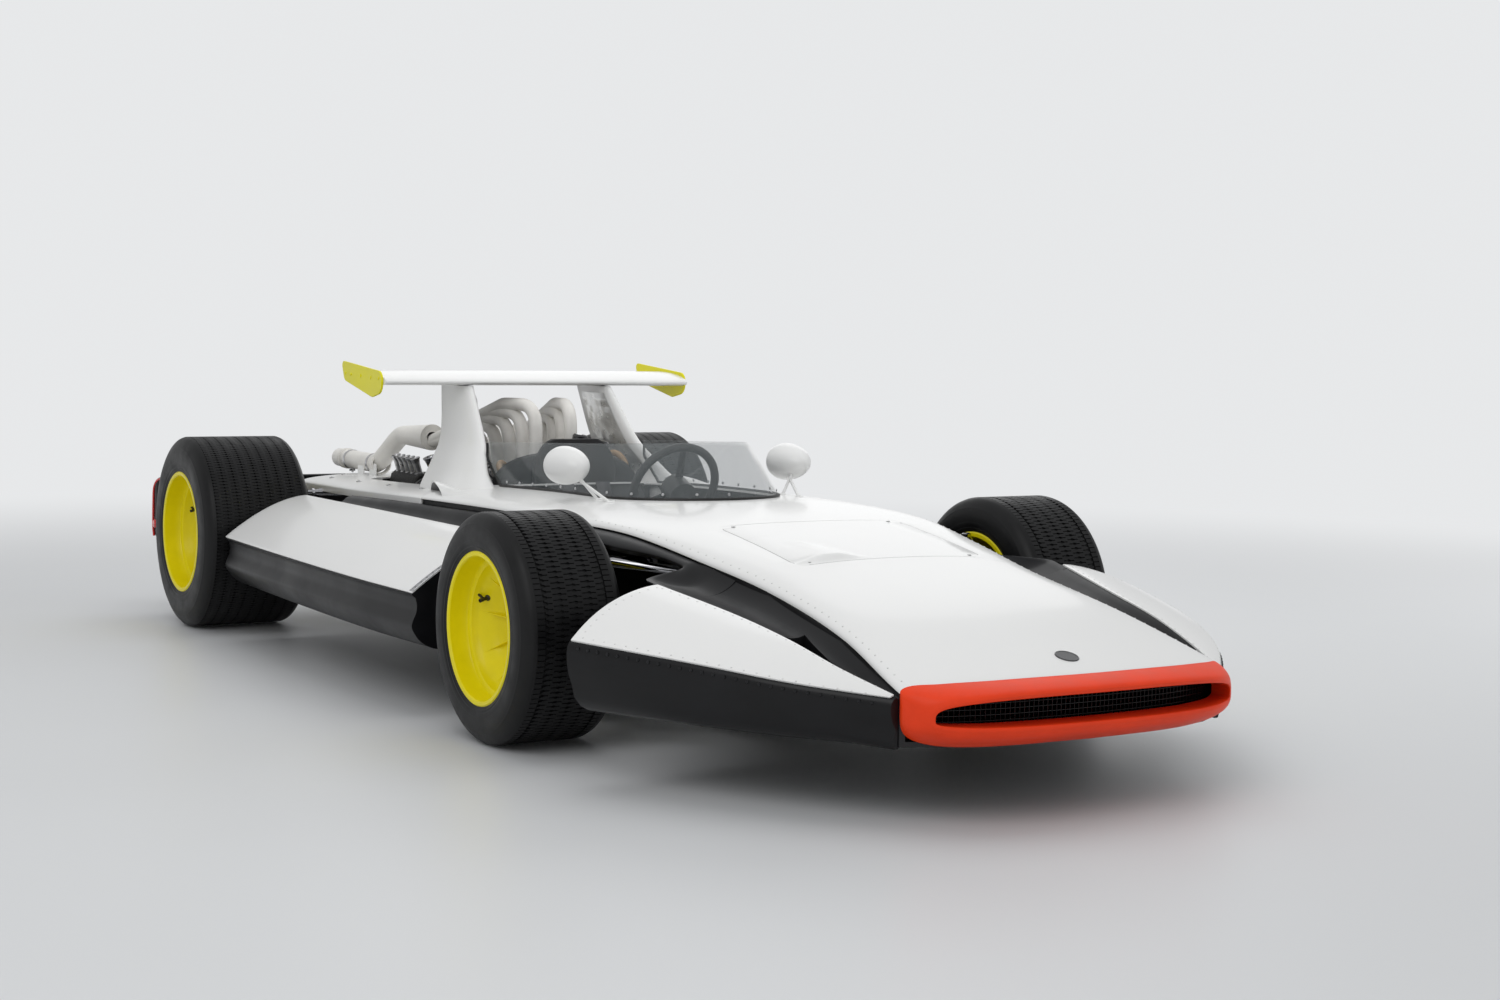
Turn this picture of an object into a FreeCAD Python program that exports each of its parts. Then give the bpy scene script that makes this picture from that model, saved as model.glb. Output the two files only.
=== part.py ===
import FreeCAD, Part
import math
import os

# Open wheel racing car of the late nineteen-sixties, three-litre class, with wheel fairings,
# crushable side sponsons and a strut-mounted rear wing.
# Millimetres.  The lines are drawn from a station in the cockpit, and every node is moved at the
# end so that the origin is on the floor below the middle of the car's box.
# +X points to the nose, +Y to the driver's left, +Z up.

# ---- driving dimensions ------------------------------------------------------------------------

WHEELBASE = 2400.0
FRONT_AXLE_X = 810.0
REAR_AXLE_X = FRONT_AXLE_X - WHEELBASE
FRONT_TRACK = 1550.0
REAR_TRACK = 1580.0

FRONT_TYRE_R = 296.0
FRONT_TYRE_WIDTH = 284.0
FRONT_FLANGE_R = 197.0
REAR_TYRE_R = 327.0
REAR_TYRE_WIDTH = 376.0
REAR_FLANGE_R = 207.0

NOSE_JOINT_X = 2117.0
NOSE_LENGTH = 73.0
NOSE_TIP_X = NOSE_JOINT_X + NOSE_LENGTH
COCKPIT_REAR_X = -575.0
TAIL_X = -2110.0
FLOOR_Z = 110.0
BODY_HALF = 502.0
TUB_HALF = BODY_HALF - 10.0
SKIN = 8.0
SEAM = 1.0

KINGPIN_Y = FRONT_TRACK / 2 - 167.0
STEER_ARM = 110.0
PIN_GAP = 0.4
RUNNING_GAP = 6.0


# ---- geometry helpers --------------------------------------------------------------------------

def at(x, y, z):
    return FreeCAD.Vector(x, y, z)


def line(start, end):
    return Part.LineSegment(start, end).toShape()


def arc(start, middle, end):
    """An arc through three points, or a straight line where they are in line."""
    bow = (middle - start).cross(end - middle).Length
    if bow < 1e-3 * (end - start).Length:
        return line(start, end)
    return Part.Arc(start, middle, end).toShape()


def arcs(points):
    """Arcs through points 0-1-2, 2-3-4 and so on."""
    return [arc(*points[i:i + 3]) for i in range(0, len(points) - 2, 2)]


def inset(points, depth):
    """The (y, z) points moved to the right of their direction of travel by depth."""
    moved = []
    last = len(points) - 1
    for i, (y, z) in enumerate(points):
        y0, z0 = points[max(i - 1, 0)]
        y1, z1 = points[min(i + 1, last)]
        length = math.hypot(y1 - y0, z1 - z0)
        moved.append((y + depth * (z1 - z0) / length, z - depth * (y1 - y0) / length))
    return moved


def skin_wire(x, points, thickness):
    """Section of a moulded skin at station x: the outside line and its inside parallel."""
    outside = [at(x, y, z) for y, z in points]
    inside = [at(x, y, z) for y, z in reversed(inset(points, thickness))]
    edges = arcs(outside)
    edges.append(line(outside[-1], inside[0]))
    edges += arcs(inside)
    edges.append(line(inside[-1], outside[0]))
    return Part.Wire(edges)


def closed_wire(x, curve, corners):
    """A section at station x: arcs through curve, then straight lines through corners."""
    path = [at(x, y, z) for y, z in curve]
    edges = arcs(path)
    bends = [path[-1]] + [at(x, y, z) for y, z in corners] + [path[0]]
    edges += [line(a, b) for a, b in zip(bends, bends[1:])]
    return Part.Wire(edges)


def loft(wires, ruled=True):
    return Part.makeLoft(wires, True, ruled)


def polygon(points):
    return Part.Face(Part.makePolygon(points + [points[0]]))


def box(x0, x1, y0, y1, z0, z1):
    return Part.makeBox(x1 - x0, y1 - y0, z1 - z0, at(x0, y0, z0))


def rod(start, end, radius):
    return Part.makeCylinder(radius, (end - start).Length, start, end - start)


def largest(shape):
    """The main solid of a cut shape, without the slivers beside it."""
    return max(shape.Solids, key=lambda solid: solid.Volume)


def mirrored(shape):
    return shape.mirror(at(0, 0, 0), at(0, 1, 0))


def both(shape):
    """A left-hand piece and its right-hand twin, as two solids of one node."""
    return Part.makeCompound([shape, mirrored(shape)])


def pipe(points, radius, bend):
    """A round pipe through points, its corners rounded to the bend radius."""
    edges = []
    start = points[0]
    for before, corner, after in zip(points, points[1:], points[2:]):
        back = (before - corner).normalize()
        ahead = (after - corner).normalize()
        half = back.getAngle(ahead) / 2
        trim = bend / math.tan(half)
        enter = corner + back * trim
        leave = corner + ahead * trim
        middle = corner + (back + ahead).normalize() * (bend / math.sin(half) - bend)
        edges.append(line(start, enter))
        edges.append(arc(enter, middle, leave))
        start = leave
    edges.append(line(start, points[-1]))
    direction = points[1] - points[0]
    profile = Part.Wire(Part.Circle(points[0], direction, radius).toShape())
    return Part.Wire(edges).makePipeShell([profile], True, False)


def revolved(profile, centre):
    """A ring about the Y axis from (radius, y) corners, placed at centre."""
    face = polygon([at(radius, y, 0) for radius, y in profile])
    ring = face.revolve(at(0, 0, 0), at(0, 1, 0), 360.0)
    ring.translate(centre)
    return ring


def at_row(rows, x, column):
    """Straight-line value of a table column at station x (tables run from nose to tail)."""
    for front, rear in zip(rows, rows[1:]):
        if front[0] >= x >= rear[0]:
            share = (front[0] - x) / (front[0] - rear[0])
            return front[column] + share * (rear[column] - front[column])
    return rows[0][column] if x > rows[0][0] else rows[-1][column]


nodes = {}

# ---- body lines --------------------------------------------------------------------------------


def forward(share):
    """Station between the front axle, 0, and the nose ring's joint, 1."""
    return FRONT_AXLE_X + share * (NOSE_JOINT_X - FRONT_AXLE_X)


# The upper body: station x, half width at the colour seam, seam height, crown height.
BODY = [
    (forward(1.010), 0.908 * BODY_HALF, 260.0, 312.0),
    (forward(0.924), 0.910 * BODY_HALF, 291.0, 344.0),
    (forward(0.711), 0.839 * BODY_HALF, 368.0, 421.0),
    (forward(0.451), 0.811 * BODY_HALF, 431.0, 485.0),
    (forward(0.235), 0.876 * BODY_HALF, 478.0, 530.0),
    (forward(0.008), 0.956 * BODY_HALF, 520.0, 562.0),
    (531.0, 0.996 * BODY_HALF, 527.0, 576.0),
    (0.0, BODY_HALF, 522.0, 572.0),
    (COCKPIT_REAR_X, 0.996 * BODY_HALF, 508.0, 552.0),
]

# Plan curve of the joint between body and nose ring: half width share, set-back from the middle.
JOINT_SWEEP = [(1.16, 130.0), (0.91, 87.0), (0.755, 46.0), (0.478, 14.0), (0.0, 0.0)]
# Fractions of the half width where a section's points lie, and how square its shoulder is.
ACROSS = (-1.0, -0.95, -0.80, 0.0, 0.80, 0.95, 1.0)
SHOULDER = 2.3


def crown_points(half, seam_z, crown_z):
    points = []
    for share in ACROSS:
        rise = (1.0 - abs(share) ** SHOULDER) ** (1.0 / SHOULDER)
        points.append((half * share, seam_z + (crown_z - seam_z) * rise))
    return points


def body_skin(rows):
    return loft([skin_wire(x, crown_points(h, s, c), SKIN) for x, h, s, c in rows])


def body_block(rows, below):
    """Everything under the body's outside surface, down to height below."""
    wires = []
    for x, half, seam_z, crown_z in rows:
        wires.append(closed_wire(x, crown_points(half, seam_z, crown_z), [(half, below), (-half, below)]))
    return loft(wires)


# ---- front channel, fairing and bumper lines ---------------------------------------------------


def outboard(rows, table):
    """Rows of station share, distance outboard of the table's edge and height, as x, y, z."""
    return [(forward(share), at_row(table, forward(share), 1) + out, z) for share, out, z in rows]


# Inner edge of the white wheel fairing: station, distance from the body's side, height.
FAIRING_IN = outboard([
    (0.924, 19.0, 286.0),
    (0.811, 71.0, 324.0),
    (0.686, 118.0, 366.0),
    (0.533, 156.0, 402.0),
    (0.322, 198.0, 444.0),
], BODY)
# Its outer edge, where it meets the black bumper: station, distance from the inner edge, height.
FAIRING_OUT = outboard([
    (0.924, 10.0, 283.0),
    (0.795, 112.0, 298.0),
    (0.650, 200.0, 318.0),
    (0.501, 269.0, 331.0),
    (0.322, 323.0, 342.0),
], FAIRING_IN)
FAIRING_DROP = 1.6
FAIRING_END_Y = FAIRING_IN[-1][1]
FAIRING_REAR = ((forward(0.322), FAIRING_END_Y), (forward(0.3995), FAIRING_END_Y + 283.0))
FAIRING_TIP_X = FAIRING_IN[0][0]
VALLEY_DEPTH = 42.0
BUMPER_BOTTOM_Z = 165.0


def slope_points(y_in, z_in, y_out, z_out, power):
    """Five points down a convex slope from its inner to its outer edge."""
    points = []
    for share in (0.0, 0.25, 0.5, 0.75, 1.0):
        points.append((y_in + (y_out - y_in) * share, z_in - (z_in - z_out) * share ** power))
    return points


def valley_points(x):
    """The channel's section from the body's seam to the fairing's inner edge."""
    y_body, z_body = at_row(BODY, x, 1), at_row(BODY, x, 2)
    y_fair, z_fair = at_row(FAIRING_IN, x, 1), at_row(FAIRING_IN, x, 2)
    width = y_fair - y_body
    depth = min(VALLEY_DEPTH, 0.45 * width)
    low = min(z_body, z_fair) - depth
    return [
        (y_body, z_body),
        (y_body + 0.12 * width, (z_body + low) / 2),
        (y_body + 0.45 * width, low),
        (y_body + 0.78 * width, low + 0.45 * (z_fair - low)),
        (y_fair, z_fair),
    ]


CHANNEL_X = [FAIRING_TIP_X - 2.0] + [forward(share) for share in (0.811, 0.686, 0.533, 0.322)]
FAIRING_X = [FAIRING_TIP_X - 12.0] + [forward(share) for share in (0.803, 0.650, 0.501, 0.322)]


def fairing_points(x):
    y_in, z_in = at_row(FAIRING_IN, x, 1), at_row(FAIRING_IN, x, 2)
    y_out, z_out = at_row(FAIRING_OUT, x, 1), at_row(FAIRING_OUT, x, 2)
    return slope_points(y_in, z_in, y_out, z_out, FAIRING_DROP)


(rear_x0, rear_y0), (rear_x1, rear_y1) = FAIRING_REAR
lean = (rear_x1 - rear_x0) / (rear_y1 - rear_y0)
behind_fairing = polygon([
    at(rear_x0 - 400.0 * lean, rear_y0 - 400.0, 0),
    at(rear_x1 + 200.0 * lean, rear_y1 + 200.0, 0),
    at(rear_x0 - 400.0, rear_y1 + 200.0, 0),
    at(rear_x0 - 400.0, rear_y0 - 400.0, 0),
]).extrude(at(0, 0, 700.0))

channel = loft([skin_wire(x, valley_points(x), SKIN) for x in CHANNEL_X])
fairing = loft([skin_wire(x, fairing_points(x), SKIN) for x in FAIRING_X])
fairing = largest(fairing.cut(behind_fairing).cut(channel))
channel = channel.cut(behind_fairing)


def bumper_wire(x):
    """The bumper's block: under channel and fairing, round the side roll, and the inner wall."""
    top = [(y, z - SKIN / 2) for y, z in valley_points(x) + fairing_points(x)[1:]]
    y_out, z_out = top[-1]
    y_in = top[0][0]
    fall = z_out - BUMPER_BOTTOM_Z
    reach = min(70.0, 0.5 * (y_out - y_in))
    roll = [
        (y_out + 4.0, z_out - 0.40 * fall),
        (y_out - 0.12 * reach, z_out - 0.75 * fall),
        (y_out - 0.45 * reach, z_out - 0.95 * fall),
        (y_out - reach, BUMPER_BOTTOM_Z),
    ]
    return closed_wire(x, top + roll, [(y_in, BUMPER_BOTTOM_Z)])


bumper = loft([bumper_wire(x) for x in CHANNEL_X])
vent_corners = outboard([(0.597, 51.0, 0.0), (0.605, 109.0, 0.0), (0.769, 66.0, 0.0)], BODY)
vent = polygon([at(*corner) for corner in vent_corners]).extrude(at(0, 0, 600.0))
vent_pocket = vent.copy()
vent_pocket.translate(at(0, 0, 270.0))
channel = channel.cut(vent)
bumper = bumper.cut(behind_fairing).cut(fairing).cut(channel).cut(vent_pocket)

nodes["front_fairings"] = both(fairing)
bumper = bumper.fuse(channel)

# A rolled lip carries the channel on along the body, above the suspension: station x, reach, drop.
SIDE_LIP = [(forward(0.345), 60.0, 34.0), (FRONT_AXLE_X, 54.0, 34.0), (432.0, 48.0, 34.0)]


def lip_wire(x, reach, drop):
    y, z = at_row(BODY, x, 1), at_row(BODY, x, 2) - 4.0
    curve = [(-4.0, 0.0), (0.30 * reach, 0.06 * drop), (0.62 * reach, 0.25 * drop)]
    curve += [(0.90 * reach, 0.58 * drop), (reach, drop)]
    return skin_wire(x, [(y + out, z - fall) for out, fall in curve], SKIN)


side_lip = loft([lip_wire(*row) for row in SIDE_LIP])

# ---- upper body skin with the cockpit opening --------------------------------------------------

SCREEN_HALF = BODY_HALF - 219.0
SCREEN_REAR_X = -590.0
SCREEN_THICK = 5.0
# The screen's plan outline at two heights: z, x of the apex.
SCREEN_LOW = (480.0, 576.0)
SCREEN_HIGH = (760.0, 417.0)
SCREEN_TOP_REAR_Z = 685.0
SCREEN_TOP_FRONT_Z = 736.0
OPENING_MARGIN = 14.0
OPENING_REAR_X = -470.0
SCREEN_END_X = -560.0


def screen_wire(z, apex_x, half):
    """U-shaped outline, closed at the rear: straight sides and a half-round front."""
    centre_x = apex_x - half
    rear = SCREEN_REAR_X
    return Part.Wire([
        line(at(rear, -half, z), at(centre_x, -half, z)),
        arc(at(centre_x, -half, z), at(apex_x, 0, z), at(centre_x, half, z)),
        line(at(centre_x, half, z), at(rear, half, z)),
        line(at(rear, half, z), at(rear, -half, z)),
    ])


def screen_block(margin):
    low_z, low_apex = SCREEN_LOW
    high_z, high_apex = SCREEN_HIGH
    half = SCREEN_HALF - margin
    return loft([
        screen_wire(low_z, low_apex - margin, half),
        screen_wire(high_z, high_apex - margin, half),
    ])


def plan_curve(sweep):
    """Points of the joint's plan curve from the right-hand side over the middle to the left."""
    right = [at(NOSE_JOINT_X - back, -share * BODY_HALF, 0) for share, back in sweep]
    left = [at(p.x, -p.y, 0) for p in reversed(right[:-1])]
    return right + left


def ahead_of_joint(gap):
    curve = [p + at(-gap, 0, 0) for p in plan_curve(JOINT_SWEEP)]
    ends = [curve[-1] + at(400.0, 0, 0), curve[0] + at(400.0, 0, 0)]
    edges = arcs(curve) + [line(curve[-1], ends[0]), line(ends[0], ends[1]), line(ends[1], curve[0])]
    return Part.Face(Part.Wire(edges)).extrude(at(0, 0, 600.0))


opening = screen_block(OPENING_MARGIN).common(box(OPENING_REAR_X, 700.0, -400.0, 400.0, 400.0, 800.0))
body_outside = body_block(BODY, FLOOR_Z - 10.0)
bumper = bumper.fuse(side_lip).cut(body_outside)
nodes["front_bumpers"] = both(largest(bumper))
nodes["body_shell"] = body_skin(BODY).cut(opening).cut(ahead_of_joint(SEAM))

# ---- engine deck -------------------------------------------------------------------------------

# Station x, half width at the seam, seam height, deck height.
DECK = [
    (COCKPIT_REAR_X - SEAM, 0.996 * BODY_HALF, 508.0, 541.0),
    (-1170.0, 0.956 * BODY_HALF, 486.0, 522.0),
    (-1840.0, 0.906 * BODY_HALF, 470.0, 503.0),
]
BAY_HALF = 330.0
BAY_FRONT_X = -620.0
BAY_REAR_X = -1500.0
deck = loft([skin_wire(x, crown_points(h, s, c), SKIN) for x, h, s, c in DECK])
bay_cut = box(BAY_REAR_X, BAY_FRONT_X, -BAY_HALF, BAY_HALF, 450.0, 600.0)
bay_cut = bay_cut.makeFillet(60.0, [e for e in bay_cut.Edges if abs(e.Curve.Direction.z) > 0.9])
nodes["engine_deck"] = deck.cut(bay_cut)
deck_outside = body_block(DECK, FLOOR_Z - 10.0)

# ---- tub ---------------------------------------------------------------------------------------

TUB_FRONT_X = forward(0.283)
BOX_REAR_X = 620.0
BOX_HALF = 330.0
BOX_WALL = 12.0
BULKHEAD_X = -500.0
FLOOR_PLATE = 14.0


wide = box(COCKPIT_REAR_X, BOX_REAR_X, -TUB_HALF, TUB_HALF, FLOOR_Z, 590.0)
narrow = box(BOX_REAR_X - 20.0, TUB_FRONT_X, -BOX_HALF, BOX_HALF, FLOOR_Z, 590.0)
tub = wide.fuse(narrow)
cockpit = box(BULKHEAD_X, BOX_REAR_X - 60.0, -BOX_HALF + 40.0, BOX_HALF - 40.0, FLOOR_Z + FLOOR_PLATE, 600.0)
footwell = box(BOX_REAR_X - 80.0, TUB_FRONT_X - BOX_WALL, -BOX_HALF + BOX_WALL, BOX_HALF - BOX_WALL,
               FLOOR_Z + FLOOR_PLATE, 600.0)
tub = tub.cut(cockpit).cut(footwell)
tub = tub.common(body_outside).cut(nodes["body_shell"])
nodes["tub"] = tub


# ---- nose duct, radiator and soft nose ring ----------------------------------------------------

DUCT_FLOOR_Z = 170.0
DUCT_WALL = 12.0
DUCT_REAR_X = TUB_FRONT_X


def duct_wire(x, wall, top):
    half = at_row(BODY, x, 1) - wall
    floor = DUCT_FLOOR_Z + wall
    return closed_wire(x, [(-half, top), (0.0, top), (half, top)], [(half, floor), (-half, floor)])


duct_x = [row[0] for row in BODY if row[0] > DUCT_REAR_X] + [DUCT_REAR_X]
duct = body_outside.common(box(DUCT_REAR_X, NOSE_JOINT_X, -600.0, 600.0, DUCT_FLOOR_Z, 600.0))
duct = duct.cut(loft([duct_wire(x, DUCT_WALL, 610.0) for x in duct_x]))
nodes["nose_duct"] = largest(duct.cut(nodes["body_shell"]).cut(ahead_of_joint(0.0)))

RADIATOR_X = forward(0.505)
RADIATOR_HALF = at_row(BODY, RADIATOR_X, 1) - 80.0
RADIATOR_HEIGHT = 235.0
RADIATOR_DEPTH = 70.0
TANK_R = 34.0
core = box(0.0, RADIATOR_DEPTH, -RADIATOR_HALF, RADIATOR_HALF, 0.0, RADIATOR_HEIGHT)
for side in (-1, 1):
    foot = at(RADIATOR_DEPTH / 2, side * RADIATOR_HALF, 0)
    core = core.fuse(rod(foot, foot + at(0, 0, RADIATOR_HEIGHT), TANK_R))
core.translate(at(RADIATOR_X, 0, DUCT_FLOOR_Z + DUCT_WALL))
nodes["radiator"] = core.removeSplitter()

# Nose ring, section by section across the car: half width share, set-back of the tip from the
# middle's, top height at the joint, height of the tip's upper and lower edge, underside height.
RING = [
    (0.0, 0.0, 316.0, 287.0, 218.0, 172.0),
    (0.398, 9.0, 316.0, 286.0, 218.0, 172.0),
    (0.657, 32.0, 313.0, 283.0, 217.0, 172.0),
    (0.817, 68.0, 309.0, 274.0, 217.0, 173.0),
    (0.892, 102.0, 298.0, 266.0, 222.0, 178.0),
    (0.922, 130.0, 283.0, 258.0, 230.0, 188.0),
]
RING_REAR_X = NOSE_JOINT_X - 140.0
# Mouth: station x, half width, height of the floor, of the roof at the side and in the middle.
MOUTH_HALF = 0.835 * BODY_HALF
MOUTH = [
    (NOSE_TIP_X + 5.0, MOUTH_HALF, 222.0, 266.0, 285.0),
    (NOSE_TIP_X - 60.0, MOUTH_HALF - 6.0, 223.0, 264.0, 281.0),
    (RING_REAR_X - 5.0, MOUTH_HALF + 4.0, 196.0, 262.0, 288.0),
]


def ring_wire(y, back, top_z, lip_top_z, lip_low_z, under_z):
    """Side view of the ring at distance y from the middle."""
    tip_x = NOSE_TIP_X - back
    joint_x = min(tip_x - 45.0, NOSE_JOINT_X)
    curve = [at(joint_x, y, top_z), at((joint_x + tip_x) / 2, y, (top_z + lip_top_z) / 2 + 4.0),
             at(tip_x - 5.0, y, lip_top_z), at(tip_x, y, (lip_top_z + lip_low_z) / 2),
             at(tip_x - 6.0, y, lip_low_z), at(tip_x - 22.0, y, (lip_low_z + under_z) / 2 - 4.0),
             at(tip_x - 62.0, y, under_z)]
    bends = [curve[-1], at(RING_REAR_X, y, under_z), at(RING_REAR_X, y, top_z + 20.0), curve[0]]
    return Part.Wire(arcs(curve) + [line(a, b) for a, b in zip(bends, bends[1:])])


def mouth_wire(x, half, floor_z, side_z, middle_z):
    flat = half - (side_z - floor_z) / 2
    mid_z = (floor_z + side_z) / 2
    return Part.Wire([
        line(at(x, flat, floor_z), at(x, -flat, floor_z)),
        arc(at(x, -flat, floor_z), at(x, -half, mid_z), at(x, -flat, side_z)),
        arc(at(x, -flat, side_z), at(x, 0, middle_z), at(x, flat, side_z)),
        arc(at(x, flat, side_z), at(x, half, mid_z), at(x, flat, floor_z)),
    ])


ring_half = loft([ring_wire(share * BODY_HALF, *rest) for share, *rest in RING])
ring = ring_half.fuse(mirrored(ring_half)).removeSplitter()
ring = ring.common(ahead_of_joint(0.0)).cut(loft([mouth_wire(*row) for row in MOUTH]))
nodes["nose_ring"] = largest(ring)

# ---- sponsons ----------------------------------------------------------------------------------

SPONSON_IN_Y = BODY_HALF + 153.0
# Station x, inner edge y, z, outer edge y, z of the white top.
SPONSON = [
    (430.0, SPONSON_IN_Y - 5.0, 486.0, SPONSON_IN_Y + 263.0, 340.0),
    (0.0, SPONSON_IN_Y, 485.0, SPONSON_IN_Y + 289.0, 343.0),
    (-600.0, SPONSON_IN_Y, 481.0, SPONSON_IN_Y + 291.0, 344.0),
    (-1205.0, SPONSON_IN_Y, 476.0, SPONSON_IN_Y + 279.0, 344.0),
]
SPONSON_DROP = 1.7
SPONSON_BOTTOM_Z = 178.0
SPONSON_VALLEY = 30.0


def sponson_wire(x, y_in, z_in, y_out, z_out):
    """The crushable side box: valley beside the body, under the white top, and the side roll."""
    y_body = TUB_HALF
    z_body = at_row(BODY + DECK[1:], x, 2)
    low = z_in - SPONSON_VALLEY
    top = [(y_body, z_body - 14.0), (y_body + 21.0, low + 0.4 * (z_body - 14.0 - low)), (y_body + 62.0, low),
           (y_in - 30.0, low + 8.0), (y_in, z_in - SKIN / 2)]
    top += [(y, z - SKIN / 2) for y, z in slope_points(y_in, z_in, y_out, z_out, SPONSON_DROP)[1:]]
    roll = [(y_out - 16.0, z_out - 26.0), (y_out - 14.0, z_out - 52.0),
            (y_out - 2.0, z_out - 92.0), (y_out - 26.0, z_out - 132.0),
            (y_out - 60.0, SPONSON_BOTTOM_Z + 8.0), (y_out - 110.0, SPONSON_BOTTOM_Z)]
    return closed_wire(x, top + roll, [(y_body, SPONSON_BOTTOM_Z)])


sponson_top = loft([skin_wire(x, slope_points(*edges, SPONSON_DROP), SKIN) for x, *edges in SPONSON])
sponson = loft([sponson_wire(*row) for row in SPONSON]).cut(sponson_top)
nodes["sponson_tops"] = both(sponson_top)
nodes["sponson_bodies"] = both(sponson)

# ---- roll-over pillars and wing ----------------------------------------------------------------

# Height z, front x, rear x, centre y, thickness.
PILLAR = [
    (470.0, -395.0, -905.0, BODY_HALF - 150.0, 130.0),
    (575.0, -470.0, -908.0, BODY_HALF - 172.0, 92.0),
    (685.0, -598.0, -928.0, BODY_HALF - 223.0, 60.0),
    (845.0, -746.0, -984.0, BODY_HALF - 249.0, 46.0),
]


def fin_wire(z, front_x, rear_x, y, thick):
    chord = front_x - rear_x
    half = thick / 2
    path = [at(rear_x, y + 0.16 * thick, z), at(rear_x + 0.32 * chord, y + 0.42 * thick, z),
            at(front_x - 0.22 * chord, y + 0.46 * thick, z), at(front_x - 0.05 * chord, y + 0.28 * thick, z),
            at(front_x, y, z),
            at(front_x - 0.05 * chord, y - 0.28 * thick, z), at(front_x - 0.22 * chord, y - 0.46 * thick, z),
            at(rear_x + 0.32 * chord, y - 0.42 * thick, z), at(rear_x, y - 0.16 * thick, z)]
    return Part.Wire(arcs(path) + [line(path[-1], path[0])])


WING_HALF = 551.0
WING_FRONT_X = -751.0
WING_CHORD = 377.0
WING_NOSE_Z = 872.0


def wing_wire(y):
    x, z, c = WING_FRONT_X, WING_NOSE_Z, WING_CHORD
    path = [at(x - c, y, z + 20.0), at(x - 0.72 * c, y, z + 31.0), at(x - 0.40 * c, y, z + 32.0),
            at(x - 0.15 * c, y, z + 22.0), at(x - 0.03 * c, y, z + 9.0),
            at(x, y, z - 2.0), at(x - 0.03 * c, y, z - 9.0),
            at(x - 0.40 * c, y, z - 14.0), at(x - c, y, z + 16.0)]
    return Part.Wire(arcs(path) + [line(path[-1], path[0])])


wing = loft([wing_wire(-WING_HALF), wing_wire(WING_HALF)])
pillar = loft([fin_wire(*row) for row in PILLAR])
pillar = pillar.cut(body_outside).cut(deck_outside).cut(wing)
pillar = largest(pillar)
nodes["wing"] = wing
nodes["roll_pillars"] = both(pillar)

# The clear screen runs from one pillar's front edge round the cockpit to the other's.
screen_top = polygon([
    at(SCREEN_REAR_X - 10.0, -400.0, SCREEN_TOP_REAR_Z),
    at(460.0, -400.0, SCREEN_TOP_FRONT_Z),
    at(800.0, -400.0, SCREEN_TOP_FRONT_Z + 10.0),
    at(800.0, -400.0, 900.0),
    at(SCREEN_REAR_X - 10.0, -400.0, 900.0),
]).extrude(at(0, 800.0, 0))
screen_inside = screen_block(SCREEN_THICK)
rear_gap = SCREEN_HALF - 13.0
screen_inside = screen_inside.fuse(box(-700.0, -400.0, -rear_gap, rear_gap, 400.0, 800.0))
screen = screen_block(0.0).cut(screen_inside)
screen = screen.cut(body_outside).cut(screen_top).cut(box(-700.0, SCREEN_END_X, -400.0, 400.0, 400.0, 800.0))
nodes["windscreen"] = largest(screen.cut(nodes["roll_pillars"]))

PLATE_THICK = 7.0
# Corners of an end plate: x, z, corner radius.
PLATE = [
    (-1140.0, 931.0, 14.0),
    (-770.0, 903.0, 34.0),
    (-775.0, 835.0, 40.0),
    (-860.0, 818.0, 30.0),
    (-1112.0, 866.0, 30.0),
]


def rounded_face(corners, y):
    """Flat plate in the XZ plane with each corner rounded to its own radius."""
    points = [at(x, y, z) for x, z, r in corners]
    edges = []
    ends = []
    for i, (x, z, radius) in enumerate(corners):
        corner = points[i]
        back = (points[i - 1] - corner).normalize()
        ahead = (points[(i + 1) % len(points)] - corner).normalize()
        half = back.getAngle(ahead) / 2
        trim = radius / math.tan(half)
        middle = corner + (back + ahead).normalize() * (radius / math.sin(half) - radius)
        ends.append((corner + back * trim, middle, corner + ahead * trim))
    for i, (enter, middle, leave) in enumerate(ends):
        edges.append(arc(enter, middle, leave))
        edges.append(line(leave, ends[(i + 1) % len(ends)][0]))
    return Part.Face(Part.Wire(edges))


plate = rounded_face(PLATE, WING_HALF).extrude(at(0, PLATE_THICK, 0))
nodes["wing_end_plates"] = both(plate)

# ---- air outlets beside the pillars ------------------------------------------------------------

# Station x, centre y, z, half width, half height of the blister.
SCOOP = [
    (-190.0, BODY_HALF - 64.0, 520.0, 10.0, 12.0),
    (-430.0, BODY_HALF - 56.0, 516.0, 36.0, 34.0),
    (-672.0, BODY_HALF - 50.0, 512.0, 48.0, 44.0),
]
SCOOP_WALL = 7.0


def oval_wire(x, y, z, half_y, half_z):
    path = [at(x, y + half_y, z), at(x, y + 0.707 * half_y, z + 0.707 * half_z), at(x, y, z + half_z),
            at(x, y - 0.707 * half_y, z + 0.707 * half_z), at(x, y - half_y, z),
            at(x, y - 0.707 * half_y, z - 0.707 * half_z), at(x, y, z - half_z),
            at(x, y + 0.707 * half_y, z - 0.707 * half_z), at(x, y + half_y, z)]
    return Part.Wire(arcs(path))


blister = loft([oval_wire(*row) for row in SCOOP])
hollow = loft([oval_wire(x, y, z, b - SCOOP_WALL, h - SCOOP_WALL) for x, y, z, b, h in SCOOP[1:]])
blister = blister.cut(hollow)
blister = blister.cut(body_outside).cut(deck_outside).cut(pillar)
nodes["air_outlets"] = both(largest(blister))

# ---- mirrors -----------------------------------------------------------------------------------

MIRROR = (241.0, 374.0, 662.0)
MIRROR_HALF_Y = 63.0
MIRROR_HALF_Z = 56.0
GLASS_HALF_Y = 52.0
GLASS_HALF_Z = 46.0
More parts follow.
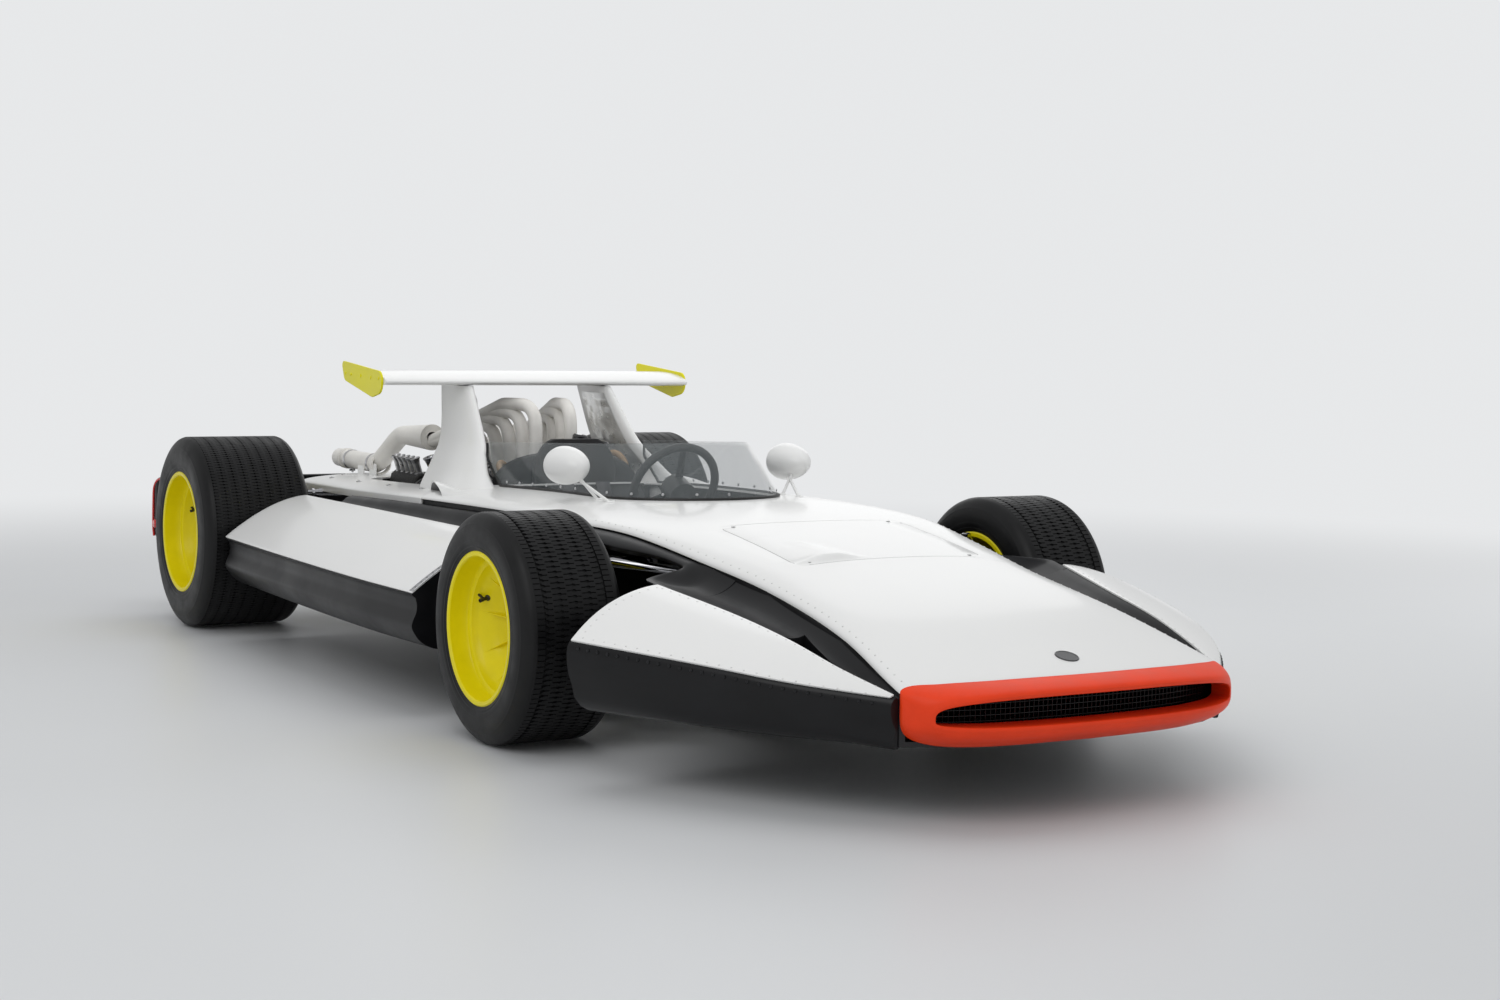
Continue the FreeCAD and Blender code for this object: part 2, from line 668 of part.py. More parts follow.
# Share of the half size at distances behind the tip of the shell.
MIRROR_SHELL = [(0.0, 0.10), (14.0, 0.48), (45.0, 0.82), (85.0, 0.98), (112.0, 1.0), (128.0, 0.93)]
MIRROR_FEET = [(285.0, 308.0), (374.0, 314.0)]
LEG_R = 4.5
mx, my, mz = MIRROR
tip_x = mx + 64.0
mirror = loft([oval_wire(tip_x - d, my, mz, s * MIRROR_HALF_Y, s * MIRROR_HALF_Z) for d, s in MIRROR_SHELL])
glass_x = tip_x - MIRROR_SHELL[-1][0]


def glass_disc(x0, x1):
    return loft([oval_wire(x, my, mz, GLASS_HALF_Y, GLASS_HALF_Z) for x in (x0, x1)])


mirror = mirror.cut(glass_disc(glass_x - 1.0, glass_x + 9.0))
legs = []
for i, (foot_x, foot_y) in enumerate(MIRROR_FEET):
    foot = at(foot_x, foot_y, 540.0)
    top = at(mx + 22.0 - 15.0 * i, my - 22.0, mz - 38.0)
    legs.append(rod(foot, top, LEG_R))
mirror = mirror.fuse(legs).cut(body_outside)
nodes["mirror_shells"] = both(largest(mirror))
nodes["mirror_glasses"] = both(glass_disc(glass_x + 5.0, glass_x + 9.0))

# ---- seat, head restraint and dash -------------------------------------------------------------

SEAT_HALF = 235.0
# Side outline of the seat shell: x, z along its front face, from the knees to the head.
SEAT_FACE = [
    (300.0, 250.0),
    (60.0, 205.0),
    (-120.0, 175.0),
    (-235.0, 190.0),
    (-330.0, 330.0),
    (-440.0, 560.0),
]
SEAT_THICK = 55.0
under = list(reversed(inset(SEAT_FACE, -SEAT_THICK)))
seat = polygon([at(x, -SEAT_HALF, z) for x, z in SEAT_FACE + under]).extrude(at(0, 2 * SEAT_HALF, 0))
seat = seat.common(box(BULKHEAD_X, BOX_REAR_X - 60.0, -SEAT_HALF, SEAT_HALF, FLOOR_Z + FLOOR_PLATE, 640.0))
nodes["seat"] = largest(seat.cut(nodes["body_shell"]))

HEAD_X = -470.0
HEAD_THICK = 60.0
HEAD_HALF = 150.0
HEAD_TOP_Z = 700.0
HEAD_ROUND = 26.0
head = box(HEAD_X - HEAD_THICK, HEAD_X, -HEAD_HALF, HEAD_HALF, 500.0, HEAD_TOP_Z)
head = head.makeFillet(HEAD_ROUND, head.Edges)
nodes["head_restraint"] = head.cut(body_outside)


# ---- steering wheel and column -----------------------------------------------------------------

WHEEL_CENTRE = (172.0, 0.0, 588.0)
WHEEL_R = 135.0
WHEEL_RIM_R = 12.0
WHEEL_TILT_DEG = 24.0
COLUMN_LENGTH = 420.0
COLUMN_R = 14.0
SPOKE_R = 7.0
BOSS_R = 44.0
tilt = math.radians(WHEEL_TILT_DEG)
ahead = at(math.cos(tilt), 0, -math.sin(tilt))
wheel_centre = at(*WHEEL_CENTRE)
grip = [(WHEEL_R + WHEEL_RIM_R * math.cos(a), WHEEL_RIM_R * math.sin(a)) for a in
        [math.radians(22.5 + 45.0 * i) for i in range(8)]]
steering = revolved(grip, at(0, 0, 0))
steering.rotate(at(0, 0, 0), at(0, 0, 1), -90.0)
steering.rotate(at(0, 0, 0), at(0, 1, 0), WHEEL_TILT_DEG)
steering.translate(wheel_centre)
hub_back = wheel_centre + ahead * 22.0
up = at(math.sin(tilt), 0, math.cos(tilt))
for degrees in (90.0, 210.0, 330.0):
    turn = math.radians(degrees)
    out = at(0, 1, 0) * math.cos(turn) + up * math.sin(turn)
    steering = steering.fuse(rod(hub_back + out * 20.0, wheel_centre + out * WHEEL_R, SPOKE_R))
steering = steering.fuse(rod(wheel_centre - ahead * 16.0, wheel_centre + ahead * 60.0, BOSS_R))
steering = steering.fuse(rod(hub_back, wheel_centre + ahead * COLUMN_LENGTH, COLUMN_R))
nodes["steering_wheel"] = steering

DASH_X = 372.0
dash = rod(wheel_centre + ahead * 190.0, wheel_centre + ahead * 250.0, 60.0)
beam = box(DASH_X - 20.0, DASH_X + 20.0, -BOX_HALF + 40.0, BOX_HALF - 40.0, 455.0, 515.0)
column_bore = rod(wheel_centre, wheel_centre + ahead * COLUMN_LENGTH, COLUMN_R + 2.0)
nodes["dash_beam"] = largest(beam.fuse(dash).cut(column_bore))

# ---- front suspension and steering -------------------------------------------------------------

KINGPIN_R = 12.0
UPPER_Z = 462.0
LOWER_Z = 178.0
ARM_R = 13.0
EYE_R = 20.0
EYE_HALF = 15.0
RACK_X = FRONT_AXLE_X + STEER_ARM
RACK_Z = 300.0
RACK_HALF = BOX_HALF + 65.0
RACK_HOUSING_HALF = BOX_HALF + 15.0
RACK_HOUSING_R = 26.0
TIE_ROD_R = 9.0

kingpin_low = at(FRONT_AXLE_X, KINGPIN_Y, LOWER_Z - 22.0)
kingpin_high = at(FRONT_AXLE_X, KINGPIN_Y, UPPER_Z + 22.0)
HUB_Y = KINGPIN_Y + 64.0
SPINDLE_END_Y = FRONT_TRACK / 2 + 25.0
SPINDLE_R = 20.0
BARREL_R = 24.0
STUB_R = 40.0
TIE_PIN_R = 7.0
TIE_Z = RACK_Z + 15.0
hub_face = at(FRONT_AXLE_X, HUB_Y, FRONT_TYRE_R)
knuckle = rod(kingpin_low, kingpin_high, KINGPIN_R)
for start, end, radius in [
    (at(FRONT_AXLE_X, KINGPIN_Y, LOWER_Z + 24.0), at(FRONT_AXLE_X, KINGPIN_Y, UPPER_Z - 24.0), BARREL_R),
    (at(FRONT_AXLE_X, KINGPIN_Y, FRONT_TYRE_R), hub_face, STUB_R),
    (hub_face, at(FRONT_AXLE_X, SPINDLE_END_Y, FRONT_TYRE_R), SPINDLE_R),
    (at(FRONT_AXLE_X, KINGPIN_Y, RACK_Z), at(RACK_X, KINGPIN_Y, RACK_Z), 12.0),
]:
    knuckle = knuckle.fuse(rod(start, end, radius))
tie_pin_low = at(RACK_X, KINGPIN_Y, RACK_Z - 22.0)
tie_pin_high = at(RACK_X, KINGPIN_Y, RACK_Z + 22.0)
knuckle = knuckle.fuse(rod(tie_pin_low, tie_pin_high, TIE_PIN_R))
nodes["knuckle_left"] = knuckle.removeSplitter()
nodes["knuckle_right"] = mirrored(nodes["knuckle_left"])


def eye(centre, axis, radius, half, bore):
    """A rod end: a short barrel with a bored hole."""
    barrel = rod(centre - axis * half, centre + axis * half, radius)
    return barrel.cut(rod(centre - axis * (half + 5.0), centre + axis * (half + 5.0), bore))


rack_end = at(RACK_X, RACK_HALF + RUNNING_GAP, TIE_Z)
tie_eye = at(RACK_X, KINGPIN_Y, TIE_Z)
tie = rod(rack_end, tie_eye - at(0, 12.0, 0), TIE_ROD_R)
tie = tie.fuse(eye(tie_eye, at(0, 0, 1), 15.0, 2.5, TIE_PIN_R + PIN_GAP))
tie = tie.cut(rod(tie_pin_low, tie_pin_high, TIE_PIN_R + PIN_GAP))
nodes["tie_rod_left"] = tie
nodes["tie_rod_right"] = mirrored(tie)

RACK_R = 12.0


def across(half, radius):
    """A bar across the car on the rack's line."""
    return rod(at(RACK_X, -half, TIE_Z), at(RACK_X, half, TIE_Z), radius)


nodes["rack_bar"] = across(RACK_HALF, RACK_R)
housing = across(RACK_HOUSING_HALF, RACK_HOUSING_R)
nodes["tub"] = nodes["tub"].cut(housing)
nodes["rack_housing"] = housing.cut(across(RACK_HALF, RACK_R + PIN_GAP))

# Arm legs: inner end x, y, z and the height of the outer eye.
FRONT_ARMS = [
    (FRONT_AXLE_X + 200.0, BOX_HALF, 432.0, UPPER_Z),
    (FRONT_AXLE_X - 110.0, BOX_HALF, 432.0, UPPER_Z),
    (FRONT_AXLE_X + 150.0, BOX_HALF, LOWER_Z, LOWER_Z),
    (FRONT_AXLE_X - 170.0, BOX_HALF, LOWER_Z, LOWER_Z),
]
upper_eye = eye(at(FRONT_AXLE_X, KINGPIN_Y, UPPER_Z), at(0, 0, 1), EYE_R, EYE_HALF, KINGPIN_R + PIN_GAP)
lower_eye = upper_eye.copy()
lower_eye.translate(at(0, 0, LOWER_Z - UPPER_Z))
arms = upper_eye.fuse(lower_eye)
for x, y, z, eye_z in FRONT_ARMS:
    reach = at(FRONT_AXLE_X, KINGPIN_Y, eye_z) - at(x, y, z)
    end = at(x, y, z) + reach * (1.0 - 0.9 * EYE_R / reach.Length)
    arms = arms.fuse(rod(at(x, y, z), end, ARM_R))
arms = arms.cut(rod(kingpin_low, kingpin_high, KINGPIN_R + PIN_GAP))
nodes["front_arms"] = both(arms.cut(nodes["tub"]))

# ---- wheels ------------------------------------------------------------------------------------

LIP = 8.0
WELL = 9.0
HUB_BACK = 14.0
HUB_PROUD = 34.0
RIM_INSET = 4.0
SHOULDER = 27.0


def rim_profile(flange_r, half, dish_y, hub_y, hub_r, bore_r):
    r = flange_r
    return [
        (r, half), (r, half - LIP), (r - WELL, half - LIP - 4.0),
        (r - WELL, LIP + 4.0 - half), (r, LIP - half), (r, -half), (r - 14.0, -half),
        (r - 20.0, dish_y - 12.0), (hub_r, hub_y - HUB_BACK), (bore_r, hub_y - HUB_BACK),
        (bore_r, hub_y + HUB_PROUD), (hub_r, hub_y + HUB_PROUD), (hub_r, hub_y),
        (r - 19.0, dish_y + 4.0), (r - 10.0, half - 4.0),
    ]


def tyre_profile(radius, flange_r, half):
    """Corners from the rim's outer flange over sidewall, shoulder and tread to the inner flange."""
    bulge_r = radius - 0.38 * (radius - flange_r)
    outer = [(flange_r, half - RIM_INSET - 1.0), (bulge_r, half), (radius, half - SHOULDER)]
    return outer + [(r, -y) for r, y in reversed(outer)]


FRONT_BORE = SPINDLE_R + PIN_GAP
SHAFT_R = 28.0
FRONT_HUB_Y = -24.0
REAR_HUB_Y = -30.0
DISC_R = 140.0
DISC_HAT = 57.0
BELL_R = 60.0
DISC_THICK = 18.0
front_centre = at(FRONT_AXLE_X, FRONT_TRACK / 2, FRONT_TYRE_R)
rear_centre = at(REAR_AXLE_X, REAR_TRACK / 2, REAR_TYRE_R)
front_half = FRONT_TYRE_WIDTH / 2
rear_half = REAR_TYRE_WIDTH / 2
front_profile = rim_profile(FRONT_FLANGE_R, front_half - RIM_INSET, 70.0, FRONT_HUB_Y, 62.0, FRONT_BORE)
rear_profile = rim_profile(REAR_FLANGE_R, rear_half - RIM_INSET, 110.0, REAR_HUB_Y, 66.0, SHAFT_R)
front_rim = revolved(front_profile, front_centre)
front_tyre = revolved(tyre_profile(FRONT_TYRE_R, FRONT_FLANGE_R, front_half), front_centre)
rear_rim = revolved(rear_profile, rear_centre)
rear_tyre = revolved(tyre_profile(REAR_TYRE_R, REAR_FLANGE_R, rear_half), rear_centre)
disc_profile = [(DISC_R, 0.0), (DISC_R, DISC_THICK), (BELL_R, DISC_THICK), (BELL_R, DISC_HAT),
                (FRONT_BORE, DISC_HAT), (FRONT_BORE, 0.0)]
front_disc = revolved(disc_profile, front_centre + at(0, FRONT_HUB_Y - HUB_BACK - DISC_HAT, 0))
nodes["front_rim_left"] = front_rim
nodes["front_rim_right"] = mirrored(front_rim)
nodes["front_tyre_left"] = front_tyre
nodes["front_tyre_right"] = mirrored(front_tyre)
nodes["front_disc_left"] = front_disc
nodes["front_disc_right"] = mirrored(front_disc)
nodes["rear_rim_left"] = rear_rim
nodes["rear_rim_right"] = mirrored(rear_rim)
nodes["rear_tyre_left"] = rear_tyre
nodes["rear_tyre_right"] = mirrored(rear_tyre)

# ---- rear uprights, arms and half-shafts -------------------------------------------------------

GEARBOX_HALF = 120.0
ENGINE_HALF = 190.0
UPRIGHT_Y = REAR_TRACK / 2 - 245.0
shaft_start = GEARBOX_HALF + RUNNING_GAP
JOINT_R = 50.0
JOINT_LENGTH = 60.0
UPRIGHT_HALF = 21.0
BEARING_R = 70.0


def on_axle(y0, y1, radius):
    return rod(at(REAR_AXLE_X, y0, REAR_TYRE_R), at(REAR_AXLE_X, y1, REAR_TYRE_R), radius)


shaft = on_axle(shaft_start, REAR_TRACK / 2, SHAFT_R)
for y in (shaft_start, UPRIGHT_Y - 100.0):
    shaft = shaft.fuse(on_axle(y, y + JOINT_LENGTH, JOINT_R))
nodes["half_shaft_left"] = shaft
nodes["half_shaft_right"] = mirrored(shaft)
upright = box(REAR_AXLE_X - 40.0, REAR_AXLE_X + 40.0, -UPRIGHT_HALF, UPRIGHT_HALF, 170.0, 480.0)
upright.translate(at(0, UPRIGHT_Y, 0))
upright = upright.fuse(on_axle(UPRIGHT_Y - 25.0, UPRIGHT_Y + 120.0, BEARING_R))
upright = upright.cut(on_axle(UPRIGHT_Y - 75.0, UPRIGHT_Y + 225.0, SHAFT_R + PIN_GAP))
nodes["rear_uprights"] = both(upright)

# Rear links: inner x, y, z, outer x, y, z, radius.
RADIUS_ROD_X = COCKPIT_REAR_X + 15.0
RADIUS_ROD_Y = ENGINE_HALF + 25.0
REAR_LINKS = [
    (REAR_AXLE_X + 30.0, GEARBOX_HALF - 5.0, 450.0, REAR_AXLE_X + 5.0, UPRIGHT_Y, 455.0, 12.0),
    (REAR_AXLE_X + 90.0, GEARBOX_HALF - 5.0, 190.0, REAR_AXLE_X + 15.0, UPRIGHT_Y, 185.0, 12.0),
    (REAR_AXLE_X - 110.0, GEARBOX_HALF - 5.0, 190.0, REAR_AXLE_X - 15.0, UPRIGHT_Y, 185.0, 12.0),
    (RADIUS_ROD_X, RADIUS_ROD_Y, 400.0, REAR_AXLE_X + 20.0, UPRIGHT_Y, 430.0, 11.0),
    (RADIUS_ROD_X, RADIUS_ROD_Y, 190.0, REAR_AXLE_X + 20.0, UPRIGHT_Y, 215.0, 11.0),
    (REAR_AXLE_X - 100.0, GEARBOX_HALF - 5.0, 460.0, REAR_AXLE_X - 85.0, UPRIGHT_Y, 230.0, 24.0),
]
links = [rod(at(a, b, c), at(d, e, f), r) for a, b, c, d, e, f, r in REAR_LINKS]

# ---- engine, gearbox, trumpets and exhaust -----------------------------------------------------

ENGINE_FRONT_X = COCKPIT_REAR_X
ENGINE_REAR_X = -1290.0
BLOCK_TOP_Z = 420.0
HEAD_BANK_DEG = 32.0
# Rear face and front face of a head, half thickness and height before it is leaned outwards.
HEAD_BANK = (ENGINE_REAR_X + 40.0, ENGINE_FRONT_X - 65.0, 75.0, 190.0)
engine = box(ENGINE_REAR_X, ENGINE_FRONT_X, -ENGINE_HALF, ENGINE_HALF, 130.0, BLOCK_TOP_Z)
heads = []
for side in (-1, 1):
    head_rear_x, head_front_x, head_half, head_height = HEAD_BANK
    head_bank = box(head_rear_x, head_front_x, -head_half, head_half, 0.0, head_height)
    head_bank.rotate(at(0, 0, 0), at(1, 0, 0), -side * HEAD_BANK_DEG)
    head_bank.translate(at(0, side * ENGINE_HALF / 2, BLOCK_TOP_Z - 70.0))
    heads.append(head_bank)
engine = engine.fuse(heads)
nodes["engine_block"] = engine
# Gearbox casing: station x, half width, bottom, top.
CASING = [
    (ENGINE_REAR_X, 150.0, 170.0, 460.0),
    (-1480.0, GEARBOX_HALF, 170.0, 480.0),
    (-1720.0, GEARBOX_HALF, 180.0, 480.0),
    (-1900.0, 80.0, 220.0, 420.0),
]


def casing_wire(x, half, low, high):
    corners = [at(x, -half, low), at(x, half, low), at(x, half, high), at(x, -half, high)]
    return Part.makePolygon(corners + corners[:1])


gearbox = loft([casing_wire(*row) for row in CASING])
nodes["gearbox"] = gearbox
left_links = [link.cut(upright).cut(gearbox).cut(nodes["tub"]) for link in links]
nodes["rear_links"] = both(Part.makeCompound(left_links))

TRUMPET_ROWS = 6
TRUMPET_PITCH = 92.0
TRUMPET_FRONT_X = -700.0
TRUMPET_Y = ENGINE_HALF + 15.0
TRUMPET_Z = 535.0
TRUMPET_LEAN = at(0, 0.35, 1)
trumpets = []
for i in range(TRUMPET_ROWS):
    throat = at(TRUMPET_FRONT_X - i * TRUMPET_PITCH, TRUMPET_Y, TRUMPET_Z)
    bell = Part.makeCone(17.0, 27.0, 70.0, throat, TRUMPET_LEAN)
    pipe_below = Part.makeCylinder(17.0, 60.0, throat, -TRUMPET_LEAN)
    trumpets.append(largest(bell.fuse(pipe_below).cut(engine)))
nodes["intake_trumpets"] = both(Part.makeCompound(trumpets))

HEADER_R = 21.0
TAIL_PIPE_X = -2060.0
TAIL_PIPE_Y = 222.0
TAIL_PIPE_Z = 545.0
TAIL_PIPE_R = 34.0
TAIL_BORE_R = 30.0
TAIL_BORE_DEPTH = 160.0
# Header pipes, front to rear: station x, rise z, rise y, and x, y of the bend to the collector.
HEADERS = [
    (-665.0, 800.0, 62.0, -850.0, 95.0),
    (-750.0, 772.0, 74.0, -930.0, 104.0),
    (-835.0, 746.0, 86.0, -1000.0, 113.0),
    (-920.0, 720.0, 98.0, -1060.0, 122.0),
    (-1005.0, 694.0, 112.0, -1120.0, 131.0),
    (-1090.0, 668.0, 126.0, -1190.0, 142.0),
]
HEADER_FOOT = (66.0, 470.0)
HEADER_BEND = 62.0
COLLECTOR = [at(-1300.0, 165.0, 648.0), at(-1430.0, 172.0, 620.0), at(-1560.0, TAIL_PIPE_Y, TAIL_PIPE_Z)]
foot_y, foot_z = HEADER_FOOT
tail = at(TAIL_PIPE_X, TAIL_PIPE_Y, TAIL_PIPE_Z)
exhaust = pipe(COLLECTOR + [tail], TAIL_PIPE_R, 110.0)
for x, rise_z, rise_y, bend_x, bend_y in HEADERS:
    route = [at(x, foot_y, foot_z), at(x + 5.0, rise_y, rise_z), at(bend_x, bend_y, rise_z - 4.0),
             COLLECTOR[0] + at(-30.0, 0, -8.0)]
    exhaust = exhaust.fuse(pipe(route, HEADER_R, HEADER_BEND))
bore = rod(tail, tail + at(TAIL_BORE_DEPTH, 0, 0), TAIL_BORE_R)
nodes["exhausts"] = both(largest(exhaust.cut(bore).cut(engine)))

# ---- rear bumper and lamps ---------------------------------------------------------------------

# An open-backed bar of sheet: front face x, half width, bottom, top, wall; and its stay.
REAR_BAR = (TAIL_X + 70.0, 920.0, 250.0, 480.0, 12.0)
STAY_HALF = 60.0
bar_x, bar_half, bar_low, bar_high, bar_wall = REAR_BAR
rear_bumper = box(TAIL_X, bar_x, -bar_half, bar_half, bar_low, bar_high)
rear_bumper = rear_bumper.cut(box(TAIL_X + bar_wall, bar_x + 1.0, bar_wall - bar_half, bar_half - bar_wall,
                                  bar_low + bar_wall, bar_high - bar_wall))
stay = box(TAIL_X + bar_wall / 2, CASING[-1][0] + 20.0, -STAY_HALF, STAY_HALF, 300.0, 400.0)
nodes["rear_bumper"] = rear_bumper.fuse(stay).cut(gearbox)

ORIGIN_X = (NOSE_TIP_X + TAIL_X) / 2
for shape in nodes.values():
    shape.translate(at(-ORIGIN_X, 0, 0))

for name, shape in nodes.items():
    print(name, shape.isValid(), len(shape.Solids), round(shape.Volume / 1e6, 2))

os.makedirs("parts", exist_ok=True)
for name, shape in nodes.items():
    shape.exportStep("parts/" + name + ".step")
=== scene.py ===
import math
import random

import bmesh
import bpy
from mathutils import Matrix, Vector


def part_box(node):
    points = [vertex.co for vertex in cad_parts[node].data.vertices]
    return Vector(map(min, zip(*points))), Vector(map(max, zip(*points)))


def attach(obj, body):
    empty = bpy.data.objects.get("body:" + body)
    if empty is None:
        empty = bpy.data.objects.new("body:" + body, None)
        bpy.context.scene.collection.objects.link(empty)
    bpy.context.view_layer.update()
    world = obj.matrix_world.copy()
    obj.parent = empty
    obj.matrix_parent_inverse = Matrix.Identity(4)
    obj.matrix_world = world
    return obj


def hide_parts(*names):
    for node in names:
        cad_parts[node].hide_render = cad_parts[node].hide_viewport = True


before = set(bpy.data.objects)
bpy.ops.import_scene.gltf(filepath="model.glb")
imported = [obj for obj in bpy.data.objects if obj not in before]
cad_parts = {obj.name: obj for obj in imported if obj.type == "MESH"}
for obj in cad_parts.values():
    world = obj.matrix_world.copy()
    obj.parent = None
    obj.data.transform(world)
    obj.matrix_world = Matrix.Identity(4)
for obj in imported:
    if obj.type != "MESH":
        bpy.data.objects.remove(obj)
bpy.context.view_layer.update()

# ---- floor, lamps and camera ------------------------------------------------
# The car stands on a plain pale floor under large soft lamps. Nothing here is part of the car.
# Far from the car the floor passes into the backdrop without an edge.

FLOOR_COLOUR = (0.70, 0.71, 0.72)
SKY_COLOUR, SKY_STRENGTH = (0.80, 0.81, 0.82), 0.68
# Between these distances from the car the floor passes into the backdrop.
FLOOR_FADE = (2.9, 7.5)
FLOOR_SIZE, FLOOR_GAP = 160.0, 0.002


def link(node_tree, a, b):
    node_tree.links.new(a, b)


def set_inputs(node, **values):
    """Gives a shader node's inputs their values; an underscore stands for the space in a name."""
    for name, value in values.items():
        node.inputs[name.replace("_", " ")].default_value = value
    return node


def shader_node(tree, kind, **values):
    return set_inputs(tree.nodes.new("ShaderNode" + kind), **values)


def floor_material():
    """A pale floor, slightly cloudy in gloss, that glows as bright as the sky far from the car."""
    material = bpy.data.materials.new("pale_floor")
    material.use_nodes = True
    tree = material.node_tree
    shader = set_inputs(tree.nodes["Principled BSDF"], Base_Color=(*FLOOR_COLOUR, 1.0))
    place = shader_node(tree, "TexCoord")
    cloud = shader_node(tree, "TexNoise", Scale=1.3, Detail=5.0)
    tone = shader_node(tree, "MapRange", To_Min=0.36, To_Max=0.50)
    link(tree, place.outputs["Object"], cloud.inputs["Vector"])
    link(tree, cloud.outputs["Fac"], tone.inputs["Value"])
    link(tree, tone.outputs["Result"], shader.inputs["Roughness"])
    away = shader_node(tree, "VectorMath")
    away.operation = "LENGTH"
    fade = shader_node(tree, "MapRange", From_Min=FLOOR_FADE[0], From_Max=FLOOR_FADE[1])
    fade.interpolation_type = "SMOOTHSTEP"
    glow = shader_node(tree, "Emission", Color=(*SKY_COLOUR, 1.0))
    mix = shader_node(tree, "MixShader")
    link(tree, place.outputs["Object"], away.inputs[0])
    link(tree, away.outputs["Value"], fade.inputs["Value"])
    link(tree, fade.outputs["Result"], mix.inputs["Fac"])
    link(tree, shader.outputs["BSDF"], mix.inputs[1])
    link(tree, glow.outputs["Emission"], mix.inputs[2])
    link(tree, mix.outputs["Shader"], tree.nodes["Material Output"].inputs["Surface"])
    return material


bpy.ops.mesh.primitive_plane_add(size=FLOOR_SIZE, location=(0.0, 0.0, -FLOOR_GAP))
floor = bpy.context.object
floor.name = "studio_floor"
floor.data.materials.append(floor_material())

world = bpy.data.worlds.new("soft_studio")
bpy.context.scene.world = world
world.use_nodes = True
studio = world.node_tree
sky = set_inputs(studio.nodes["Background"], Color=(*SKY_COLOUR, 1.0), Strength=SKY_STRENGTH)
seen = shader_node(studio, "Background", Color=(*SKY_COLOUR, 1.0))
rays = shader_node(studio, "LightPath")
direct = shader_node(studio, "Math")
direct.operation = "MAXIMUM"
split = shader_node(studio, "MixShader")
link(studio, rays.outputs["Is Camera Ray"], direct.inputs[0])
link(studio, rays.outputs["Is Transmission Ray"], direct.inputs[1])
link(studio, direct.outputs["Value"], split.inputs["Fac"])
link(studio, sky.outputs["Background"], split.inputs[1])
link(studio, seen.outputs["Background"], split.inputs[2])
link(studio, split.outputs["Shader"], studio.nodes["World Output"].inputs["Surface"])

# Lamps: name, place, aim, size, watts.
LAMPS = [
    ("key_lamp", (3.4, -4.2, 4.6), (0.3, 0.0, 0.3), 4.6, 82.0),
    ("top_lamp", (-0.6, 0.4, 5.2), (0.0, 0.0, 0.3), 5.2, 80.0),
    ("rear_lamp", (-5.4, 3.6, 3.2), (-0.6, 0.0, 0.4), 5.5, 46.0),
    ("side_lamp", (1.0, 5.6, 2.6), (0.0, 0.0, 0.4), 2.6, 50.0),
]
for name, place, aim, size, watts in LAMPS:
    light = bpy.data.lights.new(name, "AREA")
    light.shape = "DISK"
    light.size = size
    light.energy = watts
    lamp = bpy.data.objects.new(name, light)
    lamp.location = place
    lamp.rotation_euler = (Vector(aim) - Vector(place)).to_track_quat("-Z", "Y").to_euler()
    lamp.visible_glossy = name in ("key_lamp", "rear_lamp")
    bpy.context.scene.collection.objects.link(lamp)

# The camera's place, its direction in radians, its lens and its sensor's width in mm.
EYE = Vector((5.853, -3.144, 1.076))
YAW, PITCH, ROLL = 2.6044, -0.0797, 0.019
FOCAL_LENGTH, SENSOR_WIDTH = 52.7, 36.0
ahead = Vector((math.cos(PITCH) * math.cos(YAW), math.cos(PITCH) * math.sin(YAW), math.sin(PITCH)))
level = ahead.cross(Vector((0.0, 0.0, 1.0))).normalized()
upright = level.cross(ahead)
right = math.cos(ROLL) * level + math.sin(ROLL) * upright
above = math.cos(ROLL) * upright - math.sin(ROLL) * level
lens = bpy.data.cameras.new("front_quarter")
lens.sensor_width = SENSOR_WIDTH
lens.lens = FOCAL_LENGTH
camera = bpy.data.objects.new("front_quarter", lens)
camera.matrix_world = Matrix((
    (right.x, above.x, -ahead.x, EYE.x),
    (right.y, above.y, -ahead.y, EYE.y),
    (right.z, above.z, -ahead.z, EYE.z),
    (0.0, 0.0, 0.0, 1.0),
))
bpy.context.scene.collection.objects.link(camera)
bpy.context.scene.camera = camera
bpy.context.scene.view_settings.view_transform = "Standard"

# ---- upper body shell -------------------------------------------------------
# One long moulding in white gloss, thin and lightly crowned, with an opening for the driver.
# Rows of small rivets hold its edges, and a flush hatch with a pointed bulge lies on the nose.

# The car's lines are drawn from a station in the cockpit, and ORIGIN_X is the frame's origin there.
NOSE_TIP = 2.190
FRONT_AXLE_X = 0.810
tyre_low, tyre_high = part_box("front_tyre_left")
ORIGIN_X = FRONT_AXLE_X - (tyre_low[0] + tyre_high[0]) / 2
NOSE_JOINT = 2.117
COCKPIT_REAR = -0.575
BODY_HALF = 0.502
# Station x, half width, height of the edge, height of the crown.
BODY = [
    (2.130, 0.4558, 0.260, 0.312),
    (2.0177, 0.4568, 0.291, 0.344),
    (1.739, 0.4212, 0.368, 0.421),
    (1.400, 0.4071, 0.431, 0.485),
    (1.117, 0.4398, 0.478, 0.530),
    (0.820, 0.4799, 0.520, 0.562),
    (0.531, 0.5000, 0.527, 0.576),
    (0.000, 0.5020, 0.522, 0.572),
    (-0.575, 0.5000, 0.508, 0.552),
]
SHOULDER = 2.3
# The joint between shell and nose ring, in plan: share of the half width, set-back from the middle.
JOINT_SWEEP = [(1.16, 0.130), (0.91, 0.087), (0.755, 0.046), (0.478, 0.014), (0.0, 0.0), (-0.478, 0.014)]


